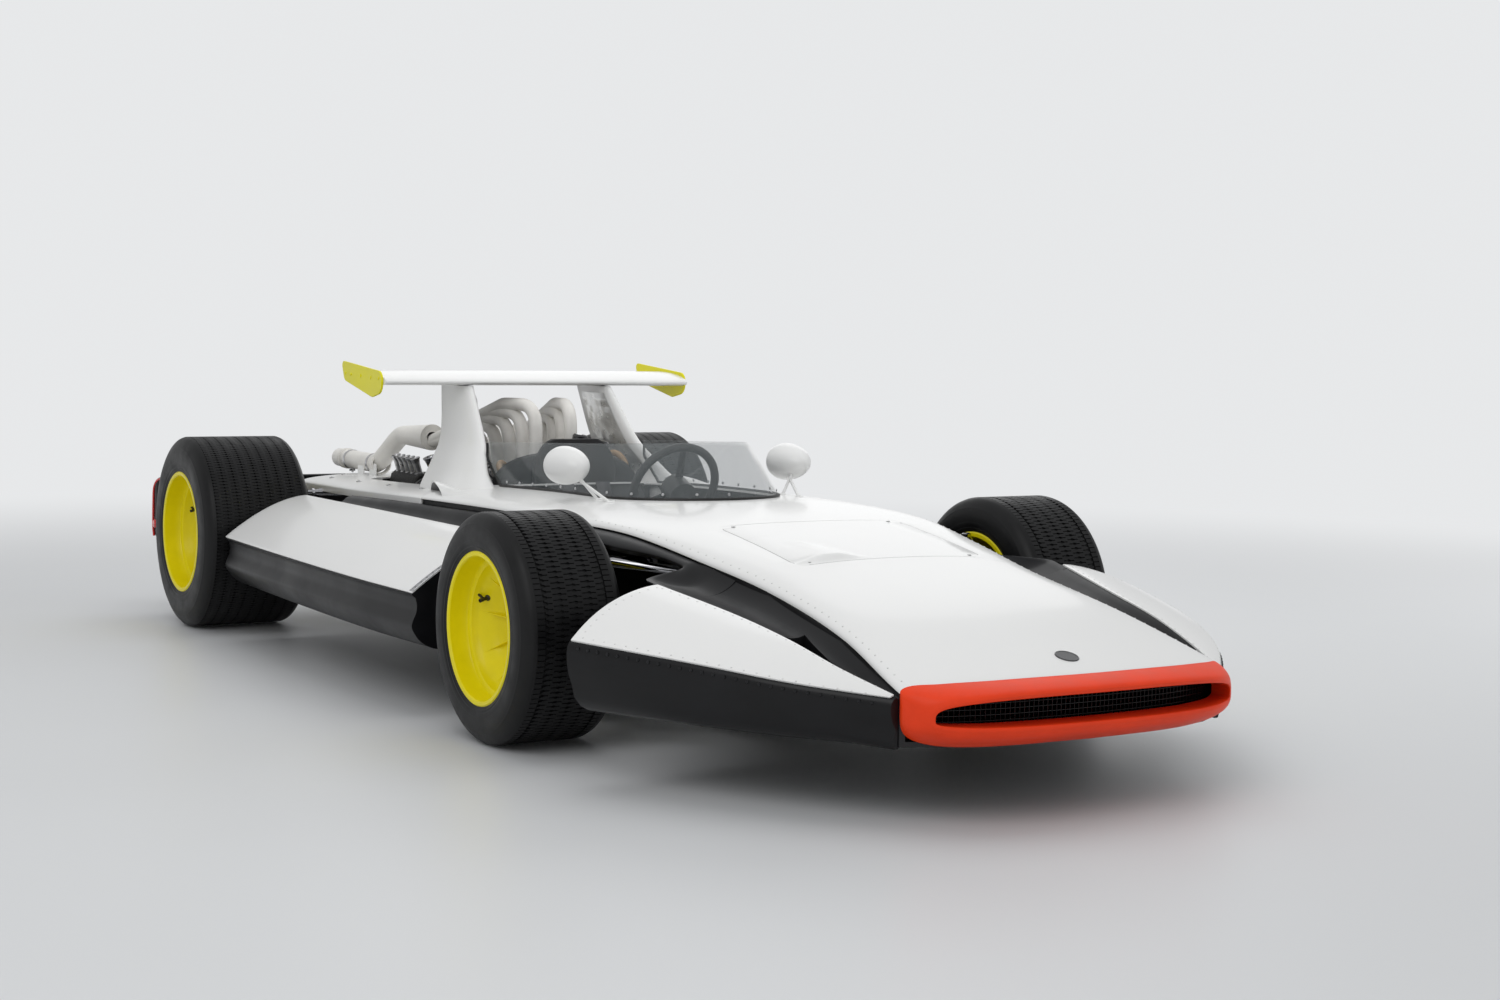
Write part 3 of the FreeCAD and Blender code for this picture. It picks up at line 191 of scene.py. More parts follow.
def blended(rows, x, column):
    """Smooth curve through a column of a table whose stations run from nose to tail."""
    xs = [row[0] for row in rows]
    ys = [row[column] for row in rows]
    x = min(max(x, xs[-1]), xs[0])
    i = next(k for k in range(len(xs) - 1) if xs[k] >= x >= xs[k + 1])
    step = xs[i + 1] - xs[i]
    t = (x - xs[i]) / step

    def slope(k):
        if 0 < k < len(xs) - 1:
            return (ys[k + 1] - ys[k - 1]) / (xs[k + 1] - xs[k - 1])
        k = max(k, 1)
        return (ys[k] - ys[k - 1]) / (xs[k] - xs[k - 1])

    a, b = slope(i) * step, slope(i + 1) * step
    return ((2 * t ** 3 - 3 * t ** 2 + 1) * ys[i] + (t ** 3 - 2 * t ** 2 + t) * a
            + (3 * t ** 2 - 2 * t ** 3) * ys[i + 1] + (t ** 3 - t ** 2) * b)


def station(rows, x):
    """Every column of such a table at one place."""
    return [blended(rows, x, column) for column in range(1, len(rows[0]))]


def crown(rows, x, y):
    """Height of a crowned panel at a place in plan."""
    share = min(abs(y) / blended(rows, x, 1), 1.0)
    rise = (1.0 - share ** SHOULDER) ** (1.0 / SHOULDER)
    low, high = blended(rows, x, 2), blended(rows, x, 3)
    return low + (high - low) * rise


def joint_x(y):
    return NOSE_JOINT - blended(JOINT_SWEEP, abs(y) / BODY_HALF, 1)


def spaced(start, end, count):
    return [start + (end - start) * i / (count - 1) for i in range(count)]


def turns(count, start=0.0):
    """Angles evenly round a full turn, from a share of a step on."""
    return [2 * math.pi * (k + start) / count for k in range(count)]


def curve(points, count):
    """Evenly counted places on a smooth curve through the points."""
    points = [Vector(p) for p in points]
    ends = [2 * points[0] - points[1]] + points + [2 * points[-1] - points[-2]]
    found = []
    for t in spaced(0.0, len(points) - 1.0, count):
        i = min(int(t), len(points) - 2)
        u = t - i
        a, b, c, d = ends[i:i + 4]
        found.append(0.5 * (2 * b + (c - a) * u + (2 * a - 5 * b + 4 * c - d) * u ** 2
                            + (3 * b - a - 3 * c + d) * u ** 3))
    return found


class Piece:
    """Gathers the faces of one piece of the car."""

    def __init__(self):
        self.points = []
        self.faces = []

    def grid(self, rows, around=False, along=False):
        """A sheet through rows of points, closed across or along where told."""
        first, wide = len(self.points), len(rows[0])
        for row in rows:
            self.points += [tuple(p) for p in row]
        for i in range(len(rows) if along else len(rows) - 1):
            for j in range(wide if around else wide - 1):
                a, b = first + i * wide, first + (i + 1) % len(rows) * wide
                self.faces.append((a + j, a + (j + 1) % wide, b + (j + 1) % wide, b + j))
        return self

    def cap(self, ring, turned=False):
        first = len(self.points)
        self.points += [tuple(p) for p in ring]
        order = list(range(first, first + len(ring)))
        self.faces.append(tuple(reversed(order)) if turned else tuple(order))
        return self

    def tube(self, rings, turned=False):
        """A skin through the rings, closed at both ends."""
        self.grid(rings, around=True)
        return self.cap(rings[0], turned=turned).cap(rings[-1], turned=not turned)

    def sweep(self, path, radii, sides=14, closed=False, capped=True):
        """A round bar through the points of path; radii is one value or one for each point."""
        path = [Vector(p) for p in path]
        radii = radii if isinstance(radii, (list, tuple)) else [radii] * len(path)
        rings = []
        side = None
        for i, p in enumerate(path):
            before = path[i - 1] if i or closed else p
            after = path[(i + 1) % len(path)] if i + 1 < len(path) or closed else p
            run = (after - before).normalized()
            if side is None:
                side = run.orthogonal().normalized()
            side = (side - run * side.dot(run)).normalized()
            up = run.cross(side)
            rings.append([p + (side * math.cos(a) + up * math.sin(a)) * radii[i] for a in turns(sides)])
        if capped and not closed:
            return self.tube(rings)
        return self.grid(rings, around=True, along=closed)

    def lathe(self, profile, centre, axis, sides=48):
        """A turned form: profile is (distance along the axis, radius)."""
        axis = Vector(axis).normalized()
        side = axis.orthogonal().normalized()
        up = axis.cross(side)
        centre = Vector(centre)
        rings = [[centre + axis * s + (side * math.cos(a) + up * math.sin(a)) * r for a in turns(sides)]
                 for s, r in profile]
        return self.grid(rings, around=True)

    def stud(self, place, normal, radius, height, sides=8):
        """A rivet or bolt head: a low dome on a surface."""
        steps = ((-0.4, 1.0), (0.35, 1.0), (0.8, 0.75), (1.0, 0.3))
        self.lathe([(height * s, radius * r) for s, r in steps], place, normal, sides)
        ring = self.points[-sides:]
        return self.cap(ring, turned=True)

    def block(self, low, high):
        x0, y0, z0 = low
        x1, y1, z1 = high
        ring = [(x0, y0), (x1, y0), (x1, y1), (x0, y1)]
        return self.tube([[(x, y, z) for x, y in ring] for z in (z0, z1)], turned=True)

    def twin(self):
        """Adds the right-hand copy of what is gathered so far."""
        first = len(self.points)
        self.points += [(x, -y, z) for x, y, z in self.points[:first]]
        self.faces += [tuple(first + i for i in reversed(face)) for face in self.faces]
        return self

    def made(self, name, look, crease=32.0, weld=2e-5):
        mesh = bpy.data.meshes.new(name)
        mesh.from_pydata([(x - ORIGIN_X, y, z) for x, y, z in self.points], [], self.faces)
        piece = bpy.data.objects.new(name, mesh)
        bpy.context.scene.collection.objects.link(piece)
        work = bmesh.new()
        work.from_mesh(mesh)
        bmesh.ops.remove_doubles(work, verts=work.verts, dist=weld)
        bmesh.ops.recalc_face_normals(work, faces=work.faces)
        work.to_mesh(mesh)
        work.free()
        mesh.polygons.foreach_set("use_smooth", [True] * len(mesh.polygons))
        mesh.set_sharp_from_angle(angle=math.radians(crease))
        mesh.materials.append(look)
        return piece


def fitted(piece, body, slot, *nodes):
    """Fixes a piece to a body of the car, in place of the CAD solids it stands for."""
    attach(piece, body)
    if nodes:
        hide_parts(*nodes)
    return piece


def thick(piece, depth, rim=0.0, offset=-1.0):
    """Gives a sheet its thickness and a soft edge."""
    wall = piece.modifiers.new("wall", "SOLIDIFY")
    wall.thickness = depth
    wall.offset = offset
    wall.use_even_offset = True
    if rim:
        soft = piece.modifiers.new("edge", "BEVEL")
        soft.width = rim
        soft.segments = 3
        soft.limit_method = "ANGLE"
        soft.angle_limit = math.radians(50.0)
    return piece


def finish(name, colour, rough, metal=0.0, coat=0.0, mottle=0.05, patch=6.0, grain=180.0, relief=0.05,
           spread=0.05, coat_rough=0.03, gleam=0.5):
    """A paint, plastic or metal with slight changes of tone and gloss and a fine surface grain."""
    material = bpy.data.materials.new(name)
    material.use_nodes = True
    tree = material.node_tree
    shader = set_inputs(tree.nodes["Principled BSDF"], Metallic=metal, Coat_Weight=coat,
                        Coat_Roughness=coat_rough, Specular_IOR_Level=gleam)
    place = shader_node(tree, "TexCoord")
    cloud = shader_node(tree, "TexNoise", Scale=patch, Detail=8.0, Roughness=0.62)
    tones = shader_node(tree, "ValToRGB")
    dark = [max(c * (1.0 - mottle), 0.0) for c in colour]
    pale = [min(c * (1.0 + mottle), 1.0) for c in colour]
    for stop, share, tone in zip(tones.color_ramp.elements, (0.35, 0.65), (dark, pale)):
        stop.position = share
        stop.color = (*tone, 1.0)
    gloss = shader_node(tree, "MapRange", From_Min=0.3, From_Max=0.7, To_Min=max(rough - spread, 0.02),
                        To_Max=min(rough + spread, 1.0))
    fine = shader_node(tree, "TexNoise", Scale=grain, Detail=4.0)
    swell = shader_node(tree, "Bump", Strength=relief, Distance=0.001)
    link(tree, place.outputs["Object"], cloud.inputs["Vector"])
    link(tree, place.outputs["Object"], fine.inputs["Vector"])
    link(tree, cloud.outputs["Fac"], tones.inputs["Fac"])
    link(tree, cloud.outputs["Fac"], gloss.inputs["Value"])
    link(tree, fine.outputs["Fac"], swell.inputs["Height"])
    link(tree, tones.outputs["Color"], shader.inputs["Base Color"])
    link(tree, gloss.outputs["Result"], shader.inputs["Roughness"])
    link(tree, swell.outputs["Normal"], shader.inputs["Normal"])
    return material


white_gloss = finish("white_gloss", (0.84, 0.84, 0.83), 0.30, coat=0.35, coat_rough=0.10, mottle=0.008,
                     patch=1.6, relief=0.006, spread=0.02)
opening_half, opening_rear, opening_apex = 0.269, -0.470, 0.511
round_centre = opening_apex - opening_half


def opening_edge(x):
    """Half width of the driver's opening at station x."""
    if x >= opening_apex or x < opening_rear:
        return 0.0
    if x <= round_centre:
        return opening_half
    return math.sqrt(max(opening_half ** 2 - (x - round_centre) ** 2, 0.0))


# Flush hatch on the nose: front and rear, half width, corner radius, joint width and depth.
HATCH_X, HATCH_HALF, HATCH_ROUND, HATCH_JOINT, HATCH_DEPTH = (1.335, 0.925), 0.285, 0.045, 0.0022, 0.0016
HATCH_MIDDLE, HATCH_REACH = (HATCH_X[0] + HATCH_X[1]) / 2, (HATCH_X[0] - HATCH_X[1]) / 2
# Lines of the mesh beside the joint, from its middle, and the stations between which rows need them.
HATCH_STEPS, HATCH_ZONE = (-0.003, -0.0011, 0.0, 0.0011, 0.003), (1.36, 0.90)
# The bulge on it: front and rear, centre y, half width in front and rise.
BULGE_X, BULGE_Y, BULGE_HALF, BULGE_RISE = (1.318, 1.125), -0.176, 0.098, 0.013


def eased(t):
    t = min(max(t, 0.0), 1.0)
    return t * t * (3 - 2 * t)


def nose_relief(x, y):
    """Height of the hatch's joint and of the bulge over the plain shell."""
    dx = max(abs(x - HATCH_MIDDLE) - HATCH_REACH + HATCH_ROUND, 0.0)
    dy = max(abs(y) - HATCH_HALF + HATCH_ROUND, 0.0)
    off = abs(math.hypot(dx, dy) - HATCH_ROUND)
    rise = -HATCH_DEPTH * (1.0 - eased(off / HATCH_JOINT))
    front, rear = BULGE_X
    along = (front - x) / (front - rear)
    if -0.06 < along < 1.0:
        width = BULGE_HALF * (1.0 - max(along, 0.0)) + 0.004
        side = eased(1.25 * (1.0 - abs(y - BULGE_Y) / width))
        rise += BULGE_RISE * side * eased((along + 0.06) / 0.12) * (1.0 - max(along, 0.0)) ** 0.6
    return rise


# Shares of the way to an edge, closest near the edge.
ACROSS = [math.sin(math.pi / 2 * i / 26) for i in range(27)]
JOINT_ZONE = 1.60
HATCH_LINES = [x + d for x in HATCH_X for d in HATCH_STEPS]
nose_stations = spaced(NOSE_JOINT - 0.0008, JOINT_ZONE, 30)
round_stations = [round_centre + opening_half * math.sin(math.pi / 2 * i / 22) for i in range(23)]
stations = sorted(set(nose_stations + spaced(JOINT_ZONE, 0.88, 130) + HATCH_LINES
                      + spaced(0.88, opening_apex, 24) + round_stations
                      + spaced(round_centre, opening_rear, 40)), reverse=True)
shell = Piece()
for side in (1, -1):
    rows = []
    for x in stations:
        swept = max((x - JOINT_ZONE) / (NOSE_JOINT - JOINT_ZONE), 0.0)
        inner, outer = opening_edge(x), blended(BODY, x, 1)
        hatch = []
        if HATCH_ZONE[1] < x < HATCH_ZONE[0]:
            hatch = [(HATCH_HALF + d) / outer for d in HATCH_STEPS]
        row = []
        for share in ACROSS:
            if hatch:
                middle = len(hatch) // 2
                nearest = min(range(len(ACROSS)), key=lambda k: abs(ACROSS[k] - hatch[middle]))
                place = ACROSS.index(share) - nearest + middle
                if 0 <= place < len(hatch):
                    share = hatch[place]
            lean = swept * (NOSE_JOINT - joint_x(share * outer))
            y = side * (inner + (blended(BODY, x - lean, 1) - inner) * share)
            row.append((x - lean, y, crown(BODY, x - lean, y) + nose_relief(x - lean, y)))
        rows.append(row)
    shell.grid(rows)


def whole_width(rows, x, inner):
    """Places across a panel from edge to edge, closest at its edges."""
    ys = [inner + (blended(rows, x, 1) - inner) * share for share in ACROSS]
    return [-y for y in reversed(ys)] + spaced(-inner, inner, 21)[1:-1] + ys


shell.grid([[(x, y, crown(BODY, x, y)) for y in whole_width(BODY, x, opening_half)]
            for x in spaced(opening_rear, COCKPIT_REAR, 8)])
shell = thick(shell.made("upper_body_shell", white_gloss, crease=40.0), 0.006, 0.0015)
fitted(shell, "chassis", "white_body", "body_shell")

rivet_alloy = finish("painted_rivet", (0.70, 0.70, 0.69), 0.35, mottle=0.1, patch=40.0)


def rivet_row(piece, path, pitch, radius, height):
    """Rivets at an even pitch along a line of (place, normal)."""
    travelled, wait = 0.0, 0.0
    for (a, na), (b, nb) in zip(path, path[1:]):
        length = (Vector(b) - Vector(a)).length
        while wait < travelled + length:
            share = (wait - travelled) / length
            piece.stud(Vector(a).lerp(Vector(b), share), Vector(na).lerp(Vector(nb), share), radius, height)
            wait += pitch
        travelled += length
    return piece


edge_rivets = Piece()
EDGE_INSET = 0.016
line = []
for x in spaced(2.01, 0.60, 60):
    y = blended(BODY, x, 1) - EDGE_INSET
    z = crown(BODY, x, y)
    slope = (crown(BODY, x, y + 0.004) - crown(BODY, x, y - 0.004)) / 0.008
    line.append(((x, y, z), Vector((0.1, -slope, 1.0)).normalized()))
rivet_row(edge_rivets, line, 0.034, 0.0024, 0.0012)
fitted(edge_rivets.twin().made("body_edge_rivets", rivet_alloy), "chassis", "white_body")

# A thin grey strip laid in the hatch's joint is painted shade: it stands for the shade in the gap. The
# corner fasteners share its grey.
joint_shade_and_fasteners = Piece()
path = []
for cx, cy, start in ((1, 1, 0.0), (-1, 1, 90.0), (-1, -1, 180.0), (1, -1, 270.0)):
    for step in spaced(0.0, 90.0, 12):
        turn = math.radians(start + step)
        x = HATCH_MIDDLE + cx * (HATCH_REACH - HATCH_ROUND) + HATCH_ROUND * math.cos(turn)
        y = cy * (HATCH_HALF - HATCH_ROUND) + HATCH_ROUND * math.sin(turn)
        path.append(Vector((x, y, 0.0)))
track = []
for p, q in zip(path, path[1:] + path[:1]):
    steps = max(int((q - p).length / 0.012), 1)
    track += [p.lerp(q, k / steps) for k in range(steps)]
joint_shade_and_fasteners.sweep([(p.x, p.y, crown(BODY, p.x, p.y) - HATCH_DEPTH + 0.0002) for p in track], 0.0010, sides=6,
                 closed=True)
# Flat fasteners at the hatch's corners.
for x, y in ((1.318, 0.245), (1.318, -0.245), (0.942, 0.245), (0.942, -0.245)):
    joint_shade_and_fasteners.lathe([(-0.001, 0.0058), (0.0006, 0.0058), (0.0012, 0.0048), (0.0012, 0.0)],
                     (x, y, crown(BODY, x, y)), (-0.1, 0, 1), 16)
shade_and_screw_grey = finish("grey_joint_shade_and_screws", (0.34, 0.34, 0.34), 0.5, mottle=0.1, patch=40.0)
fitted(joint_shade_and_fasteners.made("hatch_joint_shade_and_screws", shade_and_screw_grey), "chassis", "black_trim")

# A plain dark disc stands where a badge would be.
disc_black = finish("dark_enamel", (0.012, 0.012, 0.014), 0.18, coat=0.8, mottle=0.2, patch=40.0,
                    relief=0.01)
DISC_X = 2.029
slope = (crown(BODY, DISC_X + 0.01, 0.0) - crown(BODY, DISC_X - 0.01, 0.0)) / 0.02
disc = Piece()
disc_profile = [(-0.003, 0.0285), (0.0012, 0.0285), (0.0024, 0.0272), (0.0024, 0.0245), (0.0017, 0.0240),
                (0.0017, 0.0)]
disc.lathe(disc_profile, (DISC_X, 0.0, crown(BODY, DISC_X, 0.0)), (-slope, 0.0, 1.0), 56)
fitted(disc.made("plain_nose_disc", disc_black), "chassis", "black_trim")

# ---- nose ring --------------------------------------------------------------
# A thick soft bumper of orange-red rubber, moulded in one round the air mouth and bulged in plan.
# It is bonded to the front of the body and duct, with a black wire screen inside the mouth.

# Front edge of the lip: share of the half width, set-back from the tip.
TIP_SWEEP = [(0.930, 0.135), (0.892, 0.102), (0.817, 0.068), (0.657, 0.032), (0.398, 0.009), (0.0, 0.0),
             (-0.398, 0.009)]
RING_HALF, RING_UNDER = BODY[1][1], 0.168
MOUTH_HALF, MOUTH_Z, MOUTH_RISE, MOUTH_FALL = 0.4195, 0.2410, 0.0435, 0.0185
LIP_THICK = 0.0085
# Section of the rubber: share of the way forward, share of the way in from outside to the lip.
RUBBER = [(0.0, 0.0), (0.28, 0.15), (0.55, 0.32), (0.80, 0.54), (0.93, 0.74), (1.0, 1.0)]


def rounded(angle, half, top_power, low_power):
    """Point of a squared-off round outline: y, and height share from -1 to 1."""
    c, s = math.cos(angle), math.sin(angle)
    power = top_power if s >= 0 else low_power
    return half * math.copysign(abs(c) ** (2 / power), c), math.copysign(abs(s) ** (2 / power), s)


def mouth_at(angle, grow):
    y, rise = rounded(angle, MOUTH_HALF + grow, 3.1, 5.0)
    return y, MOUTH_Z + (MOUTH_RISE + grow if rise > 0 else MOUTH_FALL + grow) * rise


def outside_at(angle):
    y, rise = rounded(angle, RING_HALF, SHOULDER, 7.0)
    if rise >= 0:
        return y, crown(BODY, joint_x(y), y)
    edge = crown(BODY, joint_x(RING_HALF), RING_HALF)
    return y, edge + (edge - RING_UNDER) * rise


def forward_x(y, share):
    tip = NOSE_TIP - blended(TIP_SWEEP, abs(y) / BODY_HALF, 1)
    return joint_x(y) + (tip - joint_x(y)) * share


ring_sections = []
for angle in turns(200):
    (y0, z0), (y1, z1) = outside_at(angle), mouth_at(angle, LIP_THICK)
    bulge = abs(math.cos(angle)) ** 6 * math.copysign(0.009, math.cos(angle))
    outer = []
    for forward, inward in RUBBER:
        y = y0 + (y1 - y0) * inward + bulge * math.sin(math.pi * forward)
        outer.append((forward_x(y, forward), y, z0 + (z1 - z0) * inward))
    y2, z2 = mouth_at(angle, 0.0012)
    y3, z3 = mouth_at(angle, 0.0)
    lip = [(forward_x(y2, 0.975), y2, z2), (forward_x(y3, 0.88), y3, z3)]
    y4, z4 = mouth_at(angle, 0.002)
    throat = [(forward_x(y4, 0.45), y4, z4), (forward_x(y4, 0.0), y4, z4)]
    outer = curve(outer, 22) + curve([outer[-1]] + lip, 9)[1:]
    ring_sections.append(outer + curve([lip[-1]] + throat, 6)[1:])
rubber_red = finish("orange_red_rubber", (0.86, 0.052, 0.008), 0.42, gleam=0.25, mottle=0.05, patch=9.0,
                    grain=420.0, relief=0.08)
nose = Piece().grid(ring_sections, around=True, along=True)
fitted(nose.made("nose_ring_rubber", rubber_red, crease=50.0), "chassis", "orange_nose", "nose_ring")

wire_black = finish("black_wire", (0.012, 0.012, 0.013), 0.35, metal=0.4, mottle=0.2, patch=60.0)
SCREEN_BACK = 0.018
screen = Piece()
for y in spaced(-0.400, 0.400, 66):
    x = joint_x(y) - SCREEN_BACK
    screen.sweep([(x, y, 0.206), (x, y, 0.290)], 0.0010, sides=5, capped=False)
for z in spaced(0.210, 0.286, 7):
    screen.sweep([(joint_x(y) - SCREEN_BACK + 0.0016, y, z) for y in spaced(-0.41, 0.41, 25)], 0.0010,
                 sides=5, capped=False)
fitted(screen.made("mouth_wire_screen", wire_black), "chassis", "black_trim")

# ---- front fairings ---------------------------------------------------------
# A white leaf-shaped panel each side leads the air over the front wheel.
# Each is riveted along its edges to the black bumper below it.

# Inner and outer edge: station x, y, z.
FAIRING_IN = [
    (2.029, 0.4645, 0.283),
    (1.870, 0.5092, 0.324),
    (1.706, 0.5376, 0.366),
    (1.507, 0.5674, 0.402),
    (1.231, 0.6247, 0.444),
]
FAIRING_OUT = [
    (2.029, 0.4695, 0.279),
    (1.849, 0.6248, 0.298),
    (1.660, 0.7447, 0.318),
    (1.465, 0.8450, 0.331),
    (1.231, 0.9477, 0.342),
]
FAIRING_TIP = 2.029
FAIRING_FRONT = 2.021
FAIRING_DROP = 1.6


def fairing_rear(share):
    return 1.233 + 0.098 * share - 0.018 * math.sin(math.pi * share)


def fairing_at(x, share, lower=0.0):
    (y0, z0), (y1, z1) = station(FAIRING_IN, x), station(FAIRING_OUT, x)
    return (x, y0 + (y1 - y0) * share, z0 - (z0 - z1) * share ** FAIRING_DROP - lower)


fairing = Piece()
rows = []
for t in spaced(0.0, 1.0, 60):
    rows.append([fairing_at(FAIRING_FRONT + (fairing_rear(v) - FAIRING_FRONT) * t, v)
                 for v in spaced(0.0, 1.0, 28)])
fairing.grid(rows).twin()
fairing = thick(fairing.made("front_wheel_fairings", white_gloss, crease=40.0), 0.005, 0.0012)
fitted(fairing, "chassis", "white_body", "front_fairings")


def fairing_normal(x, share):
    a, b = Vector(fairing_at(x, max(share - 0.02, 0.0))), Vector(fairing_at(x, min(share + 0.02, 1.0)))
    c, d = Vector(fairing_at(x - 0.01, share)), Vector(fairing_at(x + 0.01, share))
    return (d - c).cross(b - a).normalized()


fairing_rivets = Piece()
for share in (0.045, 0.955):
    line = []
    for t in spaced(0.06, 0.97, 40):
        x = FAIRING_FRONT + (fairing_rear(share) - FAIRING_FRONT) * t
        line.append((fairing_at(x, share), fairing_normal(x, share)))
    rivet_row(fairing_rivets, line, 0.032, 0.0024, 0.0012)
line = []
for share in spaced(0.06, 0.94, 24):
    x = fairing_rear(share) + 0.020
    line.append((fairing_at(x, share), fairing_normal(x, share)))
rivet_row(fairing_rivets, line, 0.026, 0.0024, 0.0012)
fitted(fairing_rivets.twin().made("fairing_rivets", rivet_alloy), "chassis", "white_body")

# ---- front bumpers and channels ---------------------------------------------
# Black satin mouldings, each from a hollow channel beside the body, under the fairing, to a rolled side.
# Round bolt heads hold the fairing's outer edge, and a slit in the channel lets air to the brakes.

satin_black = finish("satin_black", (0.006, 0.006, 0.007), 0.36, coat=0.03, gleam=0.26, mottle=0.25,
                     patch=5.0, relief=0.03, spread=0.08, coat_rough=0.2)
BUMPER_FLOOR = 0.165
CHANNEL_DEPTH = 0.028
# The bumper starts just behind the fairing's tip and ends just before its rear edge.
BUMPER_TIP, BUMPER_SHORT = FAIRING_TIP - 0.002, 0.004
# The slit narrows forwards: its stations, its edges at the rear and at the tip as shares of the channel's
# width, and its depth at the rear.
SLIT_X, SLIT_SHARE, SLIT_TIP, SLIT_DEPTH = (1.850, 1.620), (0.24, 0.66), (0.58, 0.61), 0.034


def slit_at(x):
    """The slit's two edges, as shares of the channel's width, and its depth."""
    front, rear = SLIT_X
    along = min(max((front - x) / (front - rear), 0.0), 1.0)
    near, far = [tip + (end - tip) * along for tip, end in zip(SLIT_TIP, SLIT_SHARE)]
    return near, far, SLIT_DEPTH * along ** 0.6 if rear < x < front else 0.0


def channel_fall(s):
    """Share of the channel's depth at share s of its width."""
    return math.sin(math.pi * min(s * 1.06, 1.0)) ** 0.8


def bumper_ring(t):
    """Section from the body's edge over the channel, under the fairing, round the side to the floor."""
    def x_at(y_share):
        return BUMPER_TIP + (fairing_rear(y_share) - BUMPER_SHORT - BUMPER_TIP) * t

    points = []
    x = x_at(0.0)
    near, far, slit = slit_at(x)
    across = [(s, 0.0) for s in spaced(0.0, near, 16)]
    across += [(s, slit) for s in spaced(near + 0.006, far - 0.006, 8)]
    across += [(s, 0.0) for s in spaced(far, 1.0, 5)]
    for s, sunk in across:
        y0, z0 = blended(BODY, x, 1) - 0.002, blended(BODY, x, 2) - 0.004
        y1, z1 = blended(FAIRING_IN, x, 1), blended(FAIRING_IN, x, 2) - 0.004
        depth = min(CHANNEL_DEPTH, 0.45 * (y1 - y0))
        low = min(z0, z1) - depth
        hollow = channel_fall(s)
        z = (z0 + (z1 - z0) * s) * (1 - hollow) + (low + 0.3 * (z1 - low) * s) * hollow
        points.append((x, y0 + (y1 - y0) * s, z - sunk))
    for share in spaced(0.0, 1.0, 14)[1:]:
        points.append(fairing_at(x_at(share), share, 0.0055))
    x = x_at(1.0)
    y1, z1 = blended(FAIRING_OUT, x, 1), blended(FAIRING_OUT, x, 2) - 0.0055
    fall = z1 - BUMPER_FLOOR
    reach = min(0.070, 0.5 * (y1 - blended(BODY, x, 1)))
    roll = [(0.005, 0.06), (0.007, 0.16), (0.006, 0.30), (0.001, 0.46), (-0.008, 0.62),
            (-0.20 * reach, 0.78), (-0.45 * reach, 0.92), (-0.75 * reach, 0.985), (-reach, 1.0)]
    points += [(x, y1 + dy, z1 - fall * dz) for dy, dz in roll]
    points.append((x_at(0.0), blended(BODY, x_at(0.0), 1) - 0.002, BUMPER_FLOOR))
    return points


bumper = Piece()
# Two sections close together make the slit's rear end upright.
slit_rear_t = (BUMPER_TIP - SLIT_X[1]) / (FAIRING_TIP + 0.002 - fairing_rear(0.0))
slit_ends = [slit_rear_t - 0.001, slit_rear_t + 0.001]
sections = [bumper_ring(t) for t in sorted(spaced(0.0, 1.0, 110) + slit_ends)]
bumper.tube(sections, turned=True)
# A rolled lip carries the channel on along the body, above the suspension: its section, ends and the
# stations between which it passes into the channel.
LIP_CURVE = [(-0.004, 0.0), (0.012, 0.002), (0.032, 0.008), (0.048, 0.019), (0.054, 0.030), (0.052, 0.036)]
LIP_FRONT, LIP_REAR, LIP_MERGE = 1.262, 0.432, (1.090, 1.185)
# It is slimmer over the arms: the share taken off, from which station on and over what length.
LIP_SLIM, SLIM_FROM, SLIM_OVER, LIP_FALL = 0.60, 0.82, 0.22, 0.80
lip_curve = [(p.x, p.y) for p in curve([(out, fall, 0.0) for out, fall in LIP_CURVE], 16)]
channel_out = blended(FAIRING_IN, LIP_FRONT, 1) - blended(BODY, LIP_FRONT, 1)
channel_drop = blended(BODY, LIP_FRONT, 2) - blended(FAIRING_IN, LIP_FRONT, 2)
lips = []
for x in spaced(LIP_FRONT, LIP_REAR, 80):
    y0, z0 = blended(BODY, x, 1), blended(BODY, x, 2) - 0.004
    merge = eased((x - LIP_MERGE[0]) / (LIP_MERGE[1] - LIP_MERGE[0]))
    slim = 1.0 - LIP_SLIM * eased((x - SLIM_FROM) / SLIM_OVER)
    above = []
    for k, (out, fall) in enumerate((out * (0.4 + 0.6 * slim), fall * slim) for out, fall in lip_curve):
        s = k / (len(lip_curve) - 1)
        low = max(channel_drop, 0.0) + min(CHANNEL_DEPTH, 0.45 * channel_out)
        hollow = channel_fall(s)
        deep = channel_drop * s * (1 - hollow) + (low + 0.3 * (channel_drop - low) * s) * hollow
        fall *= LIP_FALL
        above.append((x, y0 + out + (channel_out * s - out) * merge, z0 - (fall + (deep - fall) * merge)))
    below = [(x, y - 0.003, z - 0.006) for x, y, z in reversed(above)]
    lips.append(above + below)
bumper.tube(lips, turned=True)
fitted(bumper.twin().made("front_side_bumpers", satin_black, crease=38.0), "chassis", "black_panel",
       "front_bumpers")

bolt_black = finish("blacked_bolt", (0.02, 0.02, 0.022), 0.28, metal=0.7, mottle=0.3, patch=50.0)
bolts = Piece()
line = []
for t in spaced(0.05, 0.985, 50):
    x = FAIRING_TIP + (fairing_rear(1.0) - FAIRING_TIP) * t
    y, z = blended(FAIRING_OUT, x, 1) + 0.0052, blended(FAIRING_OUT, x, 2) - 0.017
    line.append(((x, y, z), Vector((0.35, 1.0, 0.05)).normalized()))
rivet_row(bolts, line, 0.029, 0.0046, 0.0030)
fitted(bolts.twin().made("bumper_bolts", bolt_black), "chassis", "black_trim")

# ---- sponsons ---------------------------------------------------------------
# A box of crushable foam each side between the wheels: black moulding below, white sheet on top.
# The sheet slopes down to the outer edge, and a riveted alloy strip stiffens its front.

